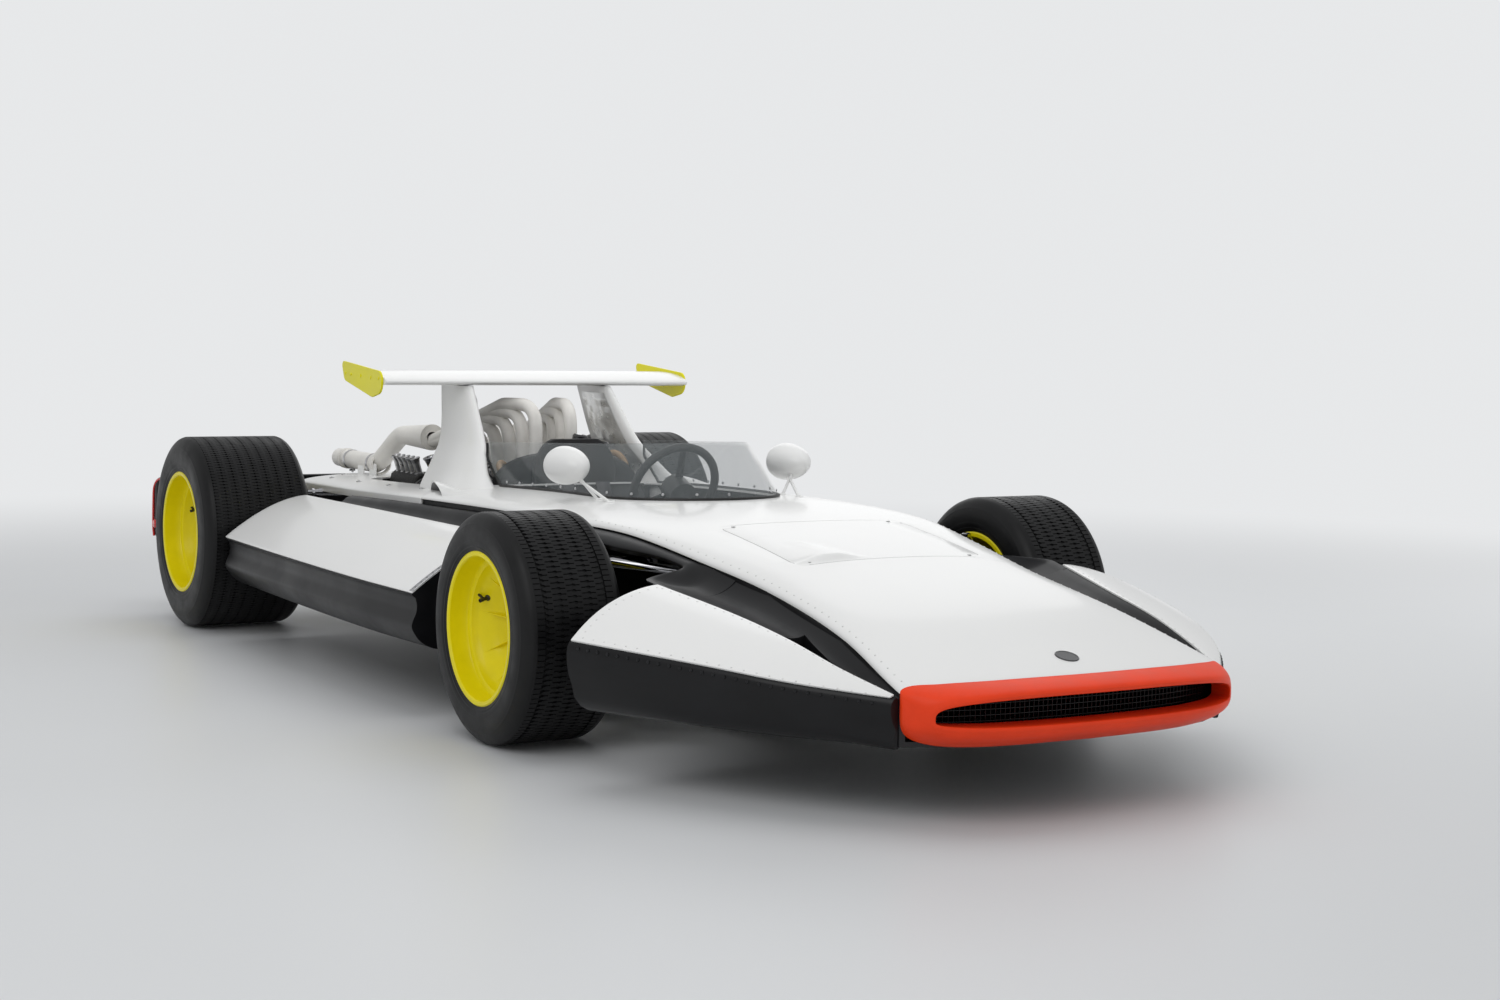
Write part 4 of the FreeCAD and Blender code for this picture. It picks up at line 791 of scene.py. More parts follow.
# Station x, inner edge y, z, outer edge y, z.
SPONSON = [
    (0.430, 0.650, 0.486, 0.918, 0.340),
    (0.000, 0.655, 0.485, 0.944, 0.343),
    (-0.600, 0.655, 0.481, 0.946, 0.344),
    (-1.205, 0.655, 0.476, 0.934, 0.344),
]
SPONSON_DROP = 1.7
SPONSON_FLOOR = 0.178
TUB_HALF = 0.492


def sponson_x(t, share):
    front, rear = SPONSON[0][0] - 0.040 * share ** 1.6, SPONSON[-1][0]
    return front + (rear - front) * t


def sponson_at(x, share, lower=0.0):
    y0, z0, y1, z1 = station(SPONSON, x)
    return (x, y0 + (y1 - y0) * share, z0 - (z0 - z1) * share ** SPONSON_DROP - lower)


top = Piece()
rows = []
for t in spaced(0.0, 1.0, 60):
    row = [sponson_at(sponson_x(t, v), v) for v in spaced(0.0, 1.0, 30)]
    x, y, z = row[0]
    rows.append([(x, y - 0.007, z - 0.016), (x, y - 0.0055, z - 0.006)] + row)
top.grid(rows).twin()
top = thick(top.made("sponson_top_sheets", white_gloss, crease=45.0), 0.004, 0.001)
fitted(top, "chassis", "white_body", "sponson_tops")


def sponson_section(t):
    x0, x1 = sponson_x(t, 0.0), sponson_x(t, 1.0)
    y_in, z_in = station(SPONSON, x0)[:2]
    y_out, z_out = station(SPONSON, x1)[2:]
    z_body = blended(BODY, x0, 2) if x0 > COCKPIT_REAR else blended(DECK, x0, 2)
    low = z_in - 0.030
    valley = [(x0, TUB_HALF, z_body - 0.014), (x0, TUB_HALF + 0.020, z_body - 0.020),
              (x0, TUB_HALF + 0.040, low + 0.004), (x0, TUB_HALF + 0.075, low - 0.001),
              (x0, y_in - 0.034, low + 0.002), (x0, y_in - 0.014, low + 0.006),
              (x0, y_in - 0.004, z_in - 0.012)]
    under = [sponson_at(sponson_x(t, v), v, 0.0055) for v in spaced(0.02, 1.0, 12)]
    side = [(x1, y_out - 0.012, z_out - 0.016), (x1, y_out - 0.016, z_out - 0.034),
            (x1, y_out - 0.014, z_out - 0.056), (x1, y_out - 0.004, z_out - 0.080),
            (x1, y_out - 0.003, z_out - 0.100), (x1, y_out - 0.026, z_out - 0.134),
            (x1, y_out - 0.062, SPONSON_FLOOR + 0.008), (x1, y_out - 0.112, SPONSON_FLOOR)]
    return curve(valley, 26) + under + curve(side, 30) + [(x0, TUB_HALF, SPONSON_FLOOR)]


# The engine deck: station x, half width, height of the edge, height of the crown.
DECK = [(-0.576, 0.500, 0.508, 0.541), (-1.170, 0.480, 0.486, 0.522), (-1.840, 0.4548, 0.470, 0.503)]
box_side = Piece()
sections = [sponson_section(t) for t in spaced(0.0, 1.0, 40)]
box_side.tube(sections, turned=True)
fitted(box_side.twin().made("sponson_foam_boxes", satin_black, crease=42.0), "chassis", "black_panel",
       "sponson_bodies")

bright_alloy = finish("bright_alloy", (0.56, 0.56, 0.57), 0.30, metal=1.0, mottle=0.06, patch=30.0,
                      grain=300.0, relief=0.06)
STRIP_WIDE = 0.020
strip = Piece()
rows = []
for v in spaced(0.04, 0.99, 40):
    x = sponson_x(0.0, v)
    rows.append([sponson_at(x - d, v, -0.0012) for d in spaced(-0.001, STRIP_WIDE, 4)])
strip.grid(rows).twin()
strip = thick(strip.made("sponson_edge_strips", bright_alloy), 0.0012)
fitted(strip, "chassis", "bare_alloy")
strip_rivets = Piece()
line = []
for v in spaced(0.06, 0.97, 30):
    a, b = Vector(sponson_at(0.40, v - 0.02)), Vector(sponson_at(0.40, v + 0.02))
    normal = Vector((-1.0, 0.0, 0.0)).cross(b - a).normalized()
    line.append((sponson_at(sponson_x(0.0, v) - 0.010, v, -0.0018), normal))
rivet_row(strip_rivets, line, 0.020, 0.0030, 0.0018)
fitted(strip_rivets.twin().made("sponson_strip_rivets", bright_alloy), "chassis", "bare_alloy")

# ---- engine deck ------------------------------------------------------------
# A white sheet behind the driver with a round-cornered opening over the engine.
# Its edges are turned down, and quick-release studs hold it.

BAY_FRONT, BAY_REAR, BAY_HALF, BAY_ROUND = -0.620, -1.500, 0.330, 0.060
DECK_FLANGE = 0.020


def bay_edge(x):
    """Half width of the opening over the engine at station x."""
    inside = min(BAY_FRONT - x, x - BAY_REAR)
    if inside < 0.0:
        return 0.0
    short = BAY_ROUND - min(inside, BAY_ROUND)
    return BAY_HALF - BAY_ROUND + math.sqrt(BAY_ROUND ** 2 - short ** 2)


deck = Piece()
corner = [BAY_ROUND * (1.0 - math.cos(math.pi / 2 * i / 10)) for i in range(11)]
beside = ([BAY_FRONT - c for c in corner] + spaced(BAY_FRONT - 0.09, BAY_REAR + 0.09, 24)
          + [BAY_REAR + c for c in reversed(corner)])
for side in (1, -1):
    rows = []
    for x in beside:
        inner, outer = bay_edge(x), blended(DECK, x, 1)
        ys = [inner + (outer - inner) * share for share in ACROSS]
        rows.append([(x, side * ys[0], crown(DECK, x, ys[0]) - 0.014)]
                    + [(x, side * y, crown(DECK, x, y)) for y in ys]
                    + [(x, side * (outer + 0.0005), blended(DECK, x, 2) - DECK_FLANGE)])
    deck.grid(rows)
# The strips before and behind the opening; the rear edge is folded down.
for start, end, count, fold in ((DECK[0][0], BAY_FRONT, 4, False), (BAY_REAR, DECK[-1][0], 14, True)):
    rows = []
    for x in spaced(start, end, count):
        outer, edge = blended(DECK, x, 1) + 0.0005, blended(DECK, x, 2) - DECK_FLANGE
        sheet = [(x, y, crown(DECK, x, y)) for y in whole_width(DECK, x, BAY_HALF - BAY_ROUND)]
        rows.append([(x, -outer, edge)] + sheet + [(x, outer, edge)])
    if fold:
        rows.append([(rows[-1][0][0] - 0.001, y, z - 0.024) for _, y, z in rows[-1]])
    deck.grid(rows)
deck = thick(deck.made("engine_deck_sheet", white_gloss, crease=40.0), 0.005, 0.0012)
fitted(deck, "chassis", "white_body", "engine_deck")
deck_studs = Piece()
for x, y in ((-0.598, 0.16), (-0.598, 0.34), (-0.80, 0.405), (-1.10, 0.40), (-1.40, 0.395), (-1.70, 0.385),
             (-1.81, 0.30), (-1.81, 0.10)):
    z = crown(DECK, x, y)
    deck_studs.lathe([(-0.001, 0.0105), (0.0012, 0.0105), (0.0022, 0.009), (0.0022, 0.0)], (x, y, z),
                     (0, 0.02, 1), 20)
    deck_studs.block((x - 0.0075, y - 0.0011, z + 0.001), (x + 0.0075, y + 0.0011, z + 0.0038))
fitted(deck_studs.twin().made("deck_fastener_studs", bright_alloy), "chassis", "bare_alloy")

# ---- roll-over pillars, air outlets and wing --------------------------------
# Two hollow welded fins stand on the tub, flared at the foot, and carry the wing over the driver's head.
# Beside each foot a blister in the body lets out the radiator's air; the wing has flat yellow ends.

# Height z, front x, rear x, centre y, thickness.
PILLAR = [
    (0.858, -0.757, -0.990, 0.2520, 0.045),
    (0.685, -0.598, -0.928, 0.279, 0.060),
    (0.600, -0.500, -0.911, 0.317, 0.080),
    (0.545, -0.430, -0.907, 0.338, 0.112),
    (0.500, -0.405, -0.906, 0.348, 0.128),
]


def fin_half(share):
    """Half thickness along the chord, front to rear, as a share of the fin's thickness."""
    nose = math.sqrt(max(1.0 - (1.0 - min(share / 0.30, 1.0)) ** 2, 0.0))
    return 0.46 * nose * (1.0 - 0.62 * eased((share - 0.35) / 0.65))


fin = Piece()
rows = []
CHORD = [0.5 - 0.5 * math.cos(math.pi * i / 26) for i in range(27)]
for z in spaced(PILLAR[0][0], PILLAR[-1][0], 40):
    front, rear, y, thickness = station(PILLAR, z)
    flare = eased((0.600 - z) / 0.085)
    thickness += 0.030 * flare ** 2
    front += 0.030 * flare ** 2
    outer = [(front + (rear - front) * c, y + thickness * fin_half(c), z) for c in CHORD]
    inner = [(front + (rear - front) * c, y - thickness * fin_half(c), z) for c in reversed(CHORD[1:])]
    rows.append(outer + inner)
fin.tube(rows)
fitted(fin.twin().made("roll_over_pillars", white_gloss, crease=50.0), "chassis", "white_body",
       "roll_pillars")

# Crinkled heat foil on the inner faces, beside the exhaust.
foil_silver = finish("crinkled_foil", (0.76, 0.76, 0.75), 0.30, metal=0.85, mottle=0.05, patch=35.0,
                     grain=60.0, relief=0.25)
random.seed(7)
# Random heights on a net over the foil, up and along.
CRINKLES = [[random.uniform(0.0, 1.0) for _ in range(9)] for _ in range(12)]
foil = Piece()


def crinkle(u, v):
    """Height of the foil's soft creases: blended random heights."""
    tall, wide = len(CRINKLES) - 1, len(CRINKLES[0]) - 1
    i, j = min(int(u * tall), tall - 1), min(int(v * wide), wide - 1)
    s, t = u * tall - i, v * wide - j
    low = CRINKLES[i][j] * (1 - s) + CRINKLES[i + 1][j] * s
    high = CRINKLES[i][j + 1] * (1 - s) + CRINKLES[i + 1][j + 1] * s
    return 0.0008 + 0.0060 * (low * (1 - t) + high * t)


rows = []
for u in spaced(0.0, 1.0, 56):
    z = 0.585 + 0.250 * u
    front, rear, y, thickness = station(PILLAR, z)
    row = []
    for v in spaced(0.0, 1.0, 41):
        chord = 0.12 + 0.74 * v
        row.append((front + (rear - front) * chord, y - thickness * fin_half(chord) - crinkle(u, v), z))
    rows.append(row)
foil.grid(rows).twin()
fitted(foil.made("pillar_heat_foil", foil_silver, crease=30.0), "chassis", "bare_alloy")

# Station x, centre y, z, half width, half height.
SCOOP = [(-0.190, 0.438, 0.520, 0.008, 0.010), (-0.300, 0.441, 0.518, 0.022, 0.022),
         (-0.430, 0.446, 0.516, 0.036, 0.034), (-0.560, 0.450, 0.516, 0.045, 0.044),
         (-0.672, 0.454, 0.516, 0.050, 0.049), (-0.735, 0.455, 0.515, 0.051, 0.050)]
# The mouth's slant, the stations of its ends, and the section at which its inner wall and the black painted
# shade inside that start.
MOUTH_SLANT, SCOOP_NOSE, SCOOP_END, LINED_FROM = 0.290, -0.195, -0.730, 12


def scoop_ring(t, shrink):
    """Oval section, leaned forwards on its outer side towards the mouth."""
    points = []
    for a in turns(44):
        x = SCOOP_NOSE + t * (SCOOP_END - SCOOP_NOSE + MOUTH_SLANT * (1.0 + math.cos(a)) / 2)
        y, z, half_y, half_z = station(SCOOP, x)
        points.append((x, y + (half_y - shrink) * math.cos(a), z + (half_z - shrink) * math.sin(a)))
    return points


outlet = Piece()
stations = spaced(0.0, 1.0, 40)
outside = [scoop_ring(t, 0.0) for t in stations]
mouth = [scoop_ring(t, 0.0045) for t in reversed(stations[LINED_FROM:])]
outlet.grid(outside + mouth, around=True).cap(outside[0])
fitted(outlet.twin().made("air_outlet_blisters", white_gloss, crease=50.0), "chassis", "white_body",
       "air_outlets")
# Inside each mouth a black lining with a closed back is painted shade: it stands for the dark depth of the
# outlet.
outlet_painted_shade = Piece()
outlet_painted_shade.grid([scoop_ring(t, 0.0052) for t in stations[LINED_FROM:-1]], around=True)
outlet_painted_shade.cap(scoop_ring(stations[LINED_FROM], 0.0052))
fitted(outlet_painted_shade.twin().made("air_outlet_painted_shade", satin_black), "chassis", "black_panel")

WING_HALF, WING_FRONT, WING_CHORD, WING_Z = 0.551, -0.751, 0.377, 0.872
# Section of the wing: share of the chord from the front, height above the front edge.
AEROFOIL = [(1.0, 0.019), (0.86, 0.0262), (0.72, 0.0305), (0.55, 0.0328), (0.40, 0.0320), (0.25, 0.0275),
            (0.12, 0.0192), (0.04, 0.0105), (0.008, 0.0045), (0.0, -0.0010), (0.008, -0.0055),
            (0.04, -0.0090), (0.14, -0.0125), (0.40, -0.0140), (0.70, -0.0020), (1.0, 0.0165)]
section = curve([(WING_FRONT - WING_CHORD * c, 0.0, WING_Z + h) for c, h in AEROFOIL], 90)
wing = Piece()
rows = [[(p.x, y, p.z) for p in section] for y in spaced(-WING_HALF, WING_HALF, 24)]
wing.tube(rows, turned=True)
fitted(wing.made("rear_wing", white_gloss, crease=50.0), "chassis", "white_body", "wing")

# Corners of an end plate: x, z, radius.
PLATE = [(-1.140, 0.931, 0.014), (-0.770, 0.903, 0.034), (-0.775, 0.835, 0.040), (-0.860, 0.818, 0.030),
         (-1.112, 0.866, 0.030)]


def rounded_outline(corners, steps=8):
    """Outline in the XZ plane, each corner x, z rounded to its own radius."""
    found = []
    for i, (x, z, radius) in enumerate(corners):
        corner = Vector((x, 0.0, z))
        back = (Vector((corners[i - 1][0], 0.0, corners[i - 1][1])) - corner).normalized()
        after = corners[(i + 1) % len(corners)]
        onward = (Vector((after[0], 0.0, after[1])) - corner).normalized()
        half = back.angle(onward) / 2
        centre = corner + (back + onward).normalized() * radius / math.sin(half)
        start = corner + back * radius / math.tan(half) - centre
        end = corner + onward * radius / math.tan(half) - centre
        found += [centre + start.slerp(end, t) * radius for t in spaced(0.0, 1.0, steps)]
    return found


wing_yellow = finish("yellow_gloss", (0.80, 0.74, 0.002), 0.34, coat=0.1, gleam=0.25, mottle=0.03,
                     patch=5.0, relief=0.015)
plates = Piece()
outline = rounded_outline(PLATE)
rows = [[(p.x, WING_HALF + y, p.z) for p in outline] for y in (0.0, 0.007)]
plates.tube(rows, turned=True)
plates = plates.twin().made("wing_end_plates_yellow", wing_yellow, crease=40.0)
soft = plates.modifiers.new("edge", "BEVEL")
soft.width, soft.segments, soft.limit_method = 0.0012, 2, "ANGLE"
fitted(plates, "chassis", "yellow_paint", "wing_end_plates")
plate_screws = Piece()
for x in (-0.80, -0.87, -0.96, -1.05, -1.10):
    plate_screws.stud((x, WING_HALF + 0.007, 0.880 + (x + 0.80) * -0.03), (0, 1, 0), 0.0055, 0.0024, 12)
fitted(plate_screws.twin().made("end_plate_screws", wing_yellow), "chassis", "yellow_paint")

# ---- windscreen -------------------------------------------------------------
# A clear acrylic screen bent round the cockpit from pillar to pillar.
# It is screwed along its foot through a black rubber strip.

SCREEN_HALF, SCREEN_THICK, SCREEN_REAR = 0.283, 0.0045, -0.556
# Share of each half that is straight, beside the driver; the remaining 0.38 goes round the front.
SCREEN_STRAIGHT = 0.62
# Its front at the middle: height and station low down and high up.
SCREEN_FOOT, SCREEN_TOP = (0.480, 0.576), (0.760, 0.417)
# Its upper edge in front and behind: station, height.
SCREEN_RIM = [(0.46, 0.736), (-0.60, 0.685)]
# How far it leans backwards and inwards, and the heights between which it does.
SCREEN_LEAN, SCREEN_LEAN_Z = (0.045, 0.035), (0.560, 0.730)


def screen_point(u, z):
    """Place on the screen's outside; u runs from the left rear over the middle, 0.5, to the right rear."""
    (foot_z, foot_x), (top_z, top_x) = SCREEN_FOOT, SCREEN_TOP
    apex = foot_x + (top_x - foot_x) * (z - foot_z) / (top_z - foot_z)
    high = min(max((z - SCREEN_LEAN_Z[0]) / (SCREEN_LEAN_Z[1] - SCREEN_LEAN_Z[0]), 0.0), 1.0)
    back, inward = SCREEN_LEAN[0] * high, SCREEN_LEAN[1] * high
    centre = apex - SCREEN_HALF - back
    side, v = (1, 2 * u) if u <= 0.5 else (-1, 2 * (1 - u))
    half = SCREEN_HALF - inward * eased(v / SCREEN_STRAIGHT)
    if v < SCREEN_STRAIGHT:
        rear = max(SCREEN_REAR, blended(PILLAR, z, 1) - 0.012)
        return (rear + (centre - rear) * v / SCREEN_STRAIGHT, side * half, z)
    angle = math.pi / 2 * (v - SCREEN_STRAIGHT) / 0.38
    return (centre + half * math.sin(angle), side * half * math.cos(angle), z)


def screen_foot(u):
    z = 0.56
    for _ in range(4):
        x, y, _z = screen_point(u, z)
        z = crown(BODY, x, y)
    return z


def screen_rim(u):
    x = screen_point(u, 0.72)[0]
    (x0, z0), (x1, z1) = SCREEN_RIM
    return z0 + (z1 - z0) * min(max((x0 - x) / (x0 - x1), 0.0), 1.0)


def clear(name, colour, alpha, rough=0.04):
    """A see-through sheet: alpha is how much of what lies behind it is hidden."""
    material = finish(name, colour, rough, coat=1.0, mottle=0.02, patch=4.0, relief=0.004, spread=0.015,
                      coat_rough=0.02)
    set_inputs(material.node_tree.nodes["Principled BSDF"], Alpha=alpha)
    return material


screen_clear = clear("clear_acrylic", (0.30, 0.33, 0.34), 0.17)
screen = Piece()
ROUND_U = spaced(0.0, 1.0, 121)
rows = []
for t in spaced(0.0, 1.0, 14):
    rows.append([screen_point(u, screen_foot(u) - 0.004 + (screen_rim(u) - screen_foot(u) + 0.004) * t)
                 for u in ROUND_U])
screen.grid(rows)
screen = thick(screen.made("windscreen_acrylic", screen_clear, crease=60.0), SCREEN_THICK)
fitted(screen, "chassis", "clear_screen", "windscreen")
seal_rubber = finish("black_rubber", (0.012, 0.012, 0.012), 0.45, mottle=0.2, patch=30.0, relief=0.05)
seal = Piece()
path = [screen_point(0.0, z) for z in spaced(screen_rim(0.0) - 0.004, screen_foot(0.0) + 0.02, 12)]
path += [screen_point(u, screen_foot(u) + 0.0035) for u in ROUND_U]
path += [screen_point(1.0, z) for z in spaced(screen_foot(1.0) + 0.02, screen_rim(1.0) - 0.004, 12)]
seal.sweep(path, 0.0042, sides=8)
fitted(seal.made("windscreen_seal", seal_rubber), "chassis", "black_trim")
screws = Piece()
for u in spaced(0.03, 0.97, 23):
    a, b = Vector(screen_point(u - 0.01, 0.60)), Vector(screen_point(u + 0.01, 0.60))
    outward = (b - a).cross(Vector((0, 0, 1))).normalized()
    place = Vector(screen_point(u, screen_foot(u) + 0.016)) - outward * 0.0004
    screws.stud(place, -outward if outward.y * (0.5 - u) < 0 else outward, 0.0045, 0.0026, 12)
fitted(screws.made("windscreen_screws", bright_alloy), "chassis", "bare_alloy")

# ---- mirrors ----------------------------------------------------------------
# Egg-shaped white shells on two thin tubular legs each, with a round glass behind.

MIRROR = Vector((0.241, 0.374, 0.662))
MIRROR_HALF_Y, MIRROR_HALF_Z = 0.063, 0.056
# Outline of a shell: distance behind its tip, share of its half size.
EGG = [(0.0, 0.02), (0.002, 0.16), (0.006, 0.28), (0.014, 0.44), (0.028, 0.63), (0.048, 0.80),
       (0.070, 0.92), (0.092, 0.985), (0.108, 1.0), (0.120, 0.985), (0.1275, 0.945), (0.1275, 0.90),
       (0.1235, 0.875)]


def egg_ring(back, share):
    return [(MIRROR.x + 0.064 - back, MIRROR.y + share * MIRROR_HALF_Y * math.cos(a),
             MIRROR.z + share * MIRROR_HALF_Z * math.sin(a)) for a in turns(60)]


shells = Piece()
shells.tube([egg_ring(back, share) for back, share in EGG])
for i, (foot_x, foot_y) in enumerate([(0.285, 0.308), (0.374, 0.314)]):
    knee = Vector((MIRROR.x + 0.022 - 0.015 * i, MIRROR.y - 0.022, MIRROR.z - 0.040))
    shells.sweep([(foot_x, foot_y, crown(BODY, foot_x, foot_y) - 0.004), knee,
                  knee + Vector((0, 0.004, 0.03))], 0.0046, sides=16)
    shells.lathe([(0.0, 0.0125), (0.0025, 0.0125), (0.0045, 0.0095), (0.006, 0.005)],
                 (foot_x, foot_y, crown(BODY, foot_x, foot_y) - 0.0012), (0, 0.05, 1), 24)
fitted(shells.twin().made("mirror_shells_white", white_gloss, crease=50.0), "chassis", "white_body",
       "mirror_shells")
mirror_silver = finish("mirror_silver", (0.83, 0.85, 0.86), 0.03, metal=1.0, mottle=0.004, patch=4.0,
                       relief=0.0, spread=0.01)
glasses = Piece()
glasses.tube([egg_ring(0.1215, 0.86), egg_ring(0.1232, 0.85)])
fitted(glasses.twin().made("mirror_glass_discs", mirror_silver, crease=30.0), "chassis", "mirror_glass",
       "mirror_glasses")

# ---- tyres ------------------------------------------------------------------
# Wide cross-ply racing tyres, treaded in front with four siped ribs and rows of shoulder blocks, and
# behind with eight narrow ribs.
# They are moulded rubber with a smooth round shoulder and faint rings on the side, stretched on the rims.

# Wheel: axle x, centre y, radius, flange radius, half width of the tyre and of the rim, dish, hub face and
# hub radius.
FRONT_WHEEL = (0.810, 0.775, 0.296, 0.197, 0.142, 0.138, 0.070, -0.024, 0.062)
REAR_WHEEL = (-1.590, 0.790, 0.327, 0.207, 0.188, 0.184, 0.110, -0.030, 0.066)
# Outline of the side: share of the way from flange to tread, distance outside the half width.
SIDEWALL = [(0.0, -0.006), (0.08, -0.0030), (0.24, 0.0004), (0.48, 0.0010), (0.66, -0.0020),
            (0.80, -0.0085), (0.90, -0.0160), (0.965, -0.0245), (1.0, -0.0350)]
MOULD_RINGS = [(0.10, 0.0016), (0.20, 0.0008), (0.24, 0.0008), (0.70, 0.0007)]
SHOULDER_IN, GROOVE_DEPTH = 0.036, 0.0048


def flipped(piece):
    """The right-hand copy of a left-hand piece."""
    other = Piece()
    other.points = [(x, -y, z) for x, y, z in piece.points]
    other.faces = [tuple(reversed(face)) for face in piece.faces]
    return other


def pair(piece, name, look, body, slot, node="", crease=32.0):
    """Makes a left-hand piece and its right-hand copy on the bodies of their own sides."""
    for side, part in (("left", piece), ("right", flipped(piece))):
        nodes = [node + "_" + side] if node else []
        fitted(part.made(name + "_" + side, look, crease), body + "_" + side, slot, *nodes)


def carcass(wheel):
    x, y, radius, flange, half = wheel[:5]
    side = []
    for p in curve([(share, off, 0.0) for share, off in SIDEWALL], 60):
        ridge = sum(high * eased(1.0 - abs(p.x - at) / 0.022) for at, high in MOULD_RINGS)
        side.append((half + p.y + ridge, flange + (radius - flange) * p.x))
    edge = half - SHOULDER_IN
    side += [(edge, radius - 0.0002), (edge - 0.0008, radius - GROOVE_DEPTH)]
    profile = side + [(-s, r) for s, r in reversed(side)]
    return Piece().lathe(profile, (x, y, radius), (0, 1, 0), 144)


def on_tread(wheel, angle, y, depth=0.0):
    x, centre, radius = wheel[:3]
    r = radius - depth
    return (x + r * math.cos(angle), centre + y, radius + r * math.sin(angle))


def raised(piece, wheel, outline, angle, pitch, open_sides=(0.0, 1.0)):
    """A tread block: its outline is (share of the pitch, y); sides on open_sides meet their neighbours."""
    ring = [on_tread(wheel, angle + pitch * s, y) for s, y in outline]
    piece.cap(ring)
    for (s0, y0), (s1, y1) in zip(outline, outline[1:] + outline[:1]):
        if s0 == s1 and s0 in open_sides:
            continue
        a, b = angle + pitch * s0, angle + pitch * s1
        piece.cap([on_tread(wheel, a, y0), on_tread(wheel, a, y0, GROOVE_DEPTH),
                   on_tread(wheel, b, y1, GROOVE_DEPTH), on_tread(wheel, b, y1)], turned=True)


def rib_outline(low, high, wave, sipe, cut):
    """One pitch of a rib with wavy edges and a short sipe from each edge."""
    h = cut / 2
    lower = [(0.0, low - wave), (0.18, low - wave), (0.36, low + wave), (0.5 - h, low + wave),
             (0.5 - h, low + wave + sipe), (0.5 + h, low + wave + sipe), (0.5 + h, low + wave),
             (0.64, low + wave), (0.82, low - wave), (1.0, low - wave)]
    upper = [(1.0, high - wave - sipe), (1.0 - h, high - wave - sipe), (1.0 - h, high - wave),
             (0.82, high - wave), (0.64, high + wave), (0.36, high + wave), (0.18, high - wave),
             (h, high - wave), (h, high - wave - sipe), (0.0, high - wave - sipe)]
    return lower + upper


def treaded(wheel, pitches, ribs, groove, wave, sipe, cut, shoulder_row):
    tyre = carcass(wheel)
    edge = wheel[4] - SHOULDER_IN
    inner = edge - shoulder_row
    pitch = 2 * math.pi / pitches
    step = 2 * inner / ribs
    for i in range(pitches):
        for k in range(ribs):
            low, high = -inner + k * step + groove / 2, -inner + (k + 1) * step - groove / 2
            raised(tyre, wheel, rib_outline(low, high, wave, sipe, cut), pitch * (i + 0.5 * (k % 2)), pitch)
        for side in (1, -1):
            if shoulder_row:
                near, far = side * (inner + groove / 2 + wave), side * edge
                outline = [(0.09, near), (0.91, near), (0.91, far), (0.09, far)]
                raised(tyre, wheel, outline if side > 0 else outline[::-1], pitch * i, pitch, ())
    return tyre


tyre_black = finish("tyre_rubber", (0.0085, 0.0085, 0.009), 0.44, gleam=0.24, mottle=0.22, patch=14.0,
                    grain=500.0, relief=0.12, spread=0.10)
pair(treaded(FRONT_WHEEL, 126, 4, 0.0040, 0.0042, 0.0125, 0.19, 0.025), "front_tyre_treaded", tyre_black,
     "front_wheel", "tyre_rubber", "front_tyre", 36.0)
pair(treaded(REAR_WHEEL, 172, 8, 0.0034, 0.0022, 0.0110, 0.16, 0.0), "rear_tyre_treaded", tyre_black,
     "rear_wheel", "tyre_rubber", "rear_tyre", 36.0)

# ---- rims -------------------------------------------------------------------
# Deep-dished cast magnesium rims painted yellow, wider behind than in front.
# Thin webs stiffen the cone, a hexagon nut holds each rim on its hub, and a black valve stands on the cone.

RIM_WEBS = 9


def cone_slope(flange, dish, hub, hub_radius):
    return (dish + 0.004 - hub) / (flange - 0.019 - hub_radius)


def rim_section(flange, half, dish, hub, hub_radius):
    """Closed section (y, radius): outer lip, cone and hub, then back along the inside and the tyre bed."""
    slope = cone_slope(flange, dish, hub, hub_radius)
    lip = [(half - 0.008, flange), (half - 0.002, flange + 0.0003), (half + 0.0004, flange - 0.003),
           (half - 0.0006, flange - 0.0115), (half - 0.0040, flange - 0.0140),
           (half - 0.020, flange - 0.0142), (dish + 0.040, flange - 0.0150),
           (dish + 0.022, flange - 0.0162), (dish + 0.016, flange - 0.0190)]
    ledge = [(dish + 0.0135, flange - 0.0270), (dish + 0.0105, flange - 0.0310),
             (dish - 0.0020, flange - 0.0345)]
    cone = []
    for r in (flange - 0.040, flange - 0.056, flange - 0.066, flange - 0.072, flange - 0.078,
              flange - 0.090, hub_radius + 0.022, hub_radius + 0.010):
        step = 0.0045 * eased((flange - 0.066 - r) / 0.010)
        cone.append((hub + slope * (r - hub_radius) + 0.004 - step, r))
    nose = [(hub + 0.004, hub_radius + 0.003), (hub + 0.012, hub_radius), (hub + 0.030, hub_radius - 0.003),
            (hub + 0.034, hub_radius - 0.008), (hub + 0.034, 0.022), (hub - 0.014, 0.022),
            (hub - 0.014, hub_radius)]
    back = [(dish - 0.012, flange - 0.0200), (-half, flange - 0.014), (-half - 0.0004, flange - 0.004),
            (-half + 0.002, flange), (0.008 - half, flange), (0.013 - half, flange - 0.009),
            (half - 0.013, flange - 0.009), (half - 0.008, flange)]
    return lip + ledge + cone + nose + back


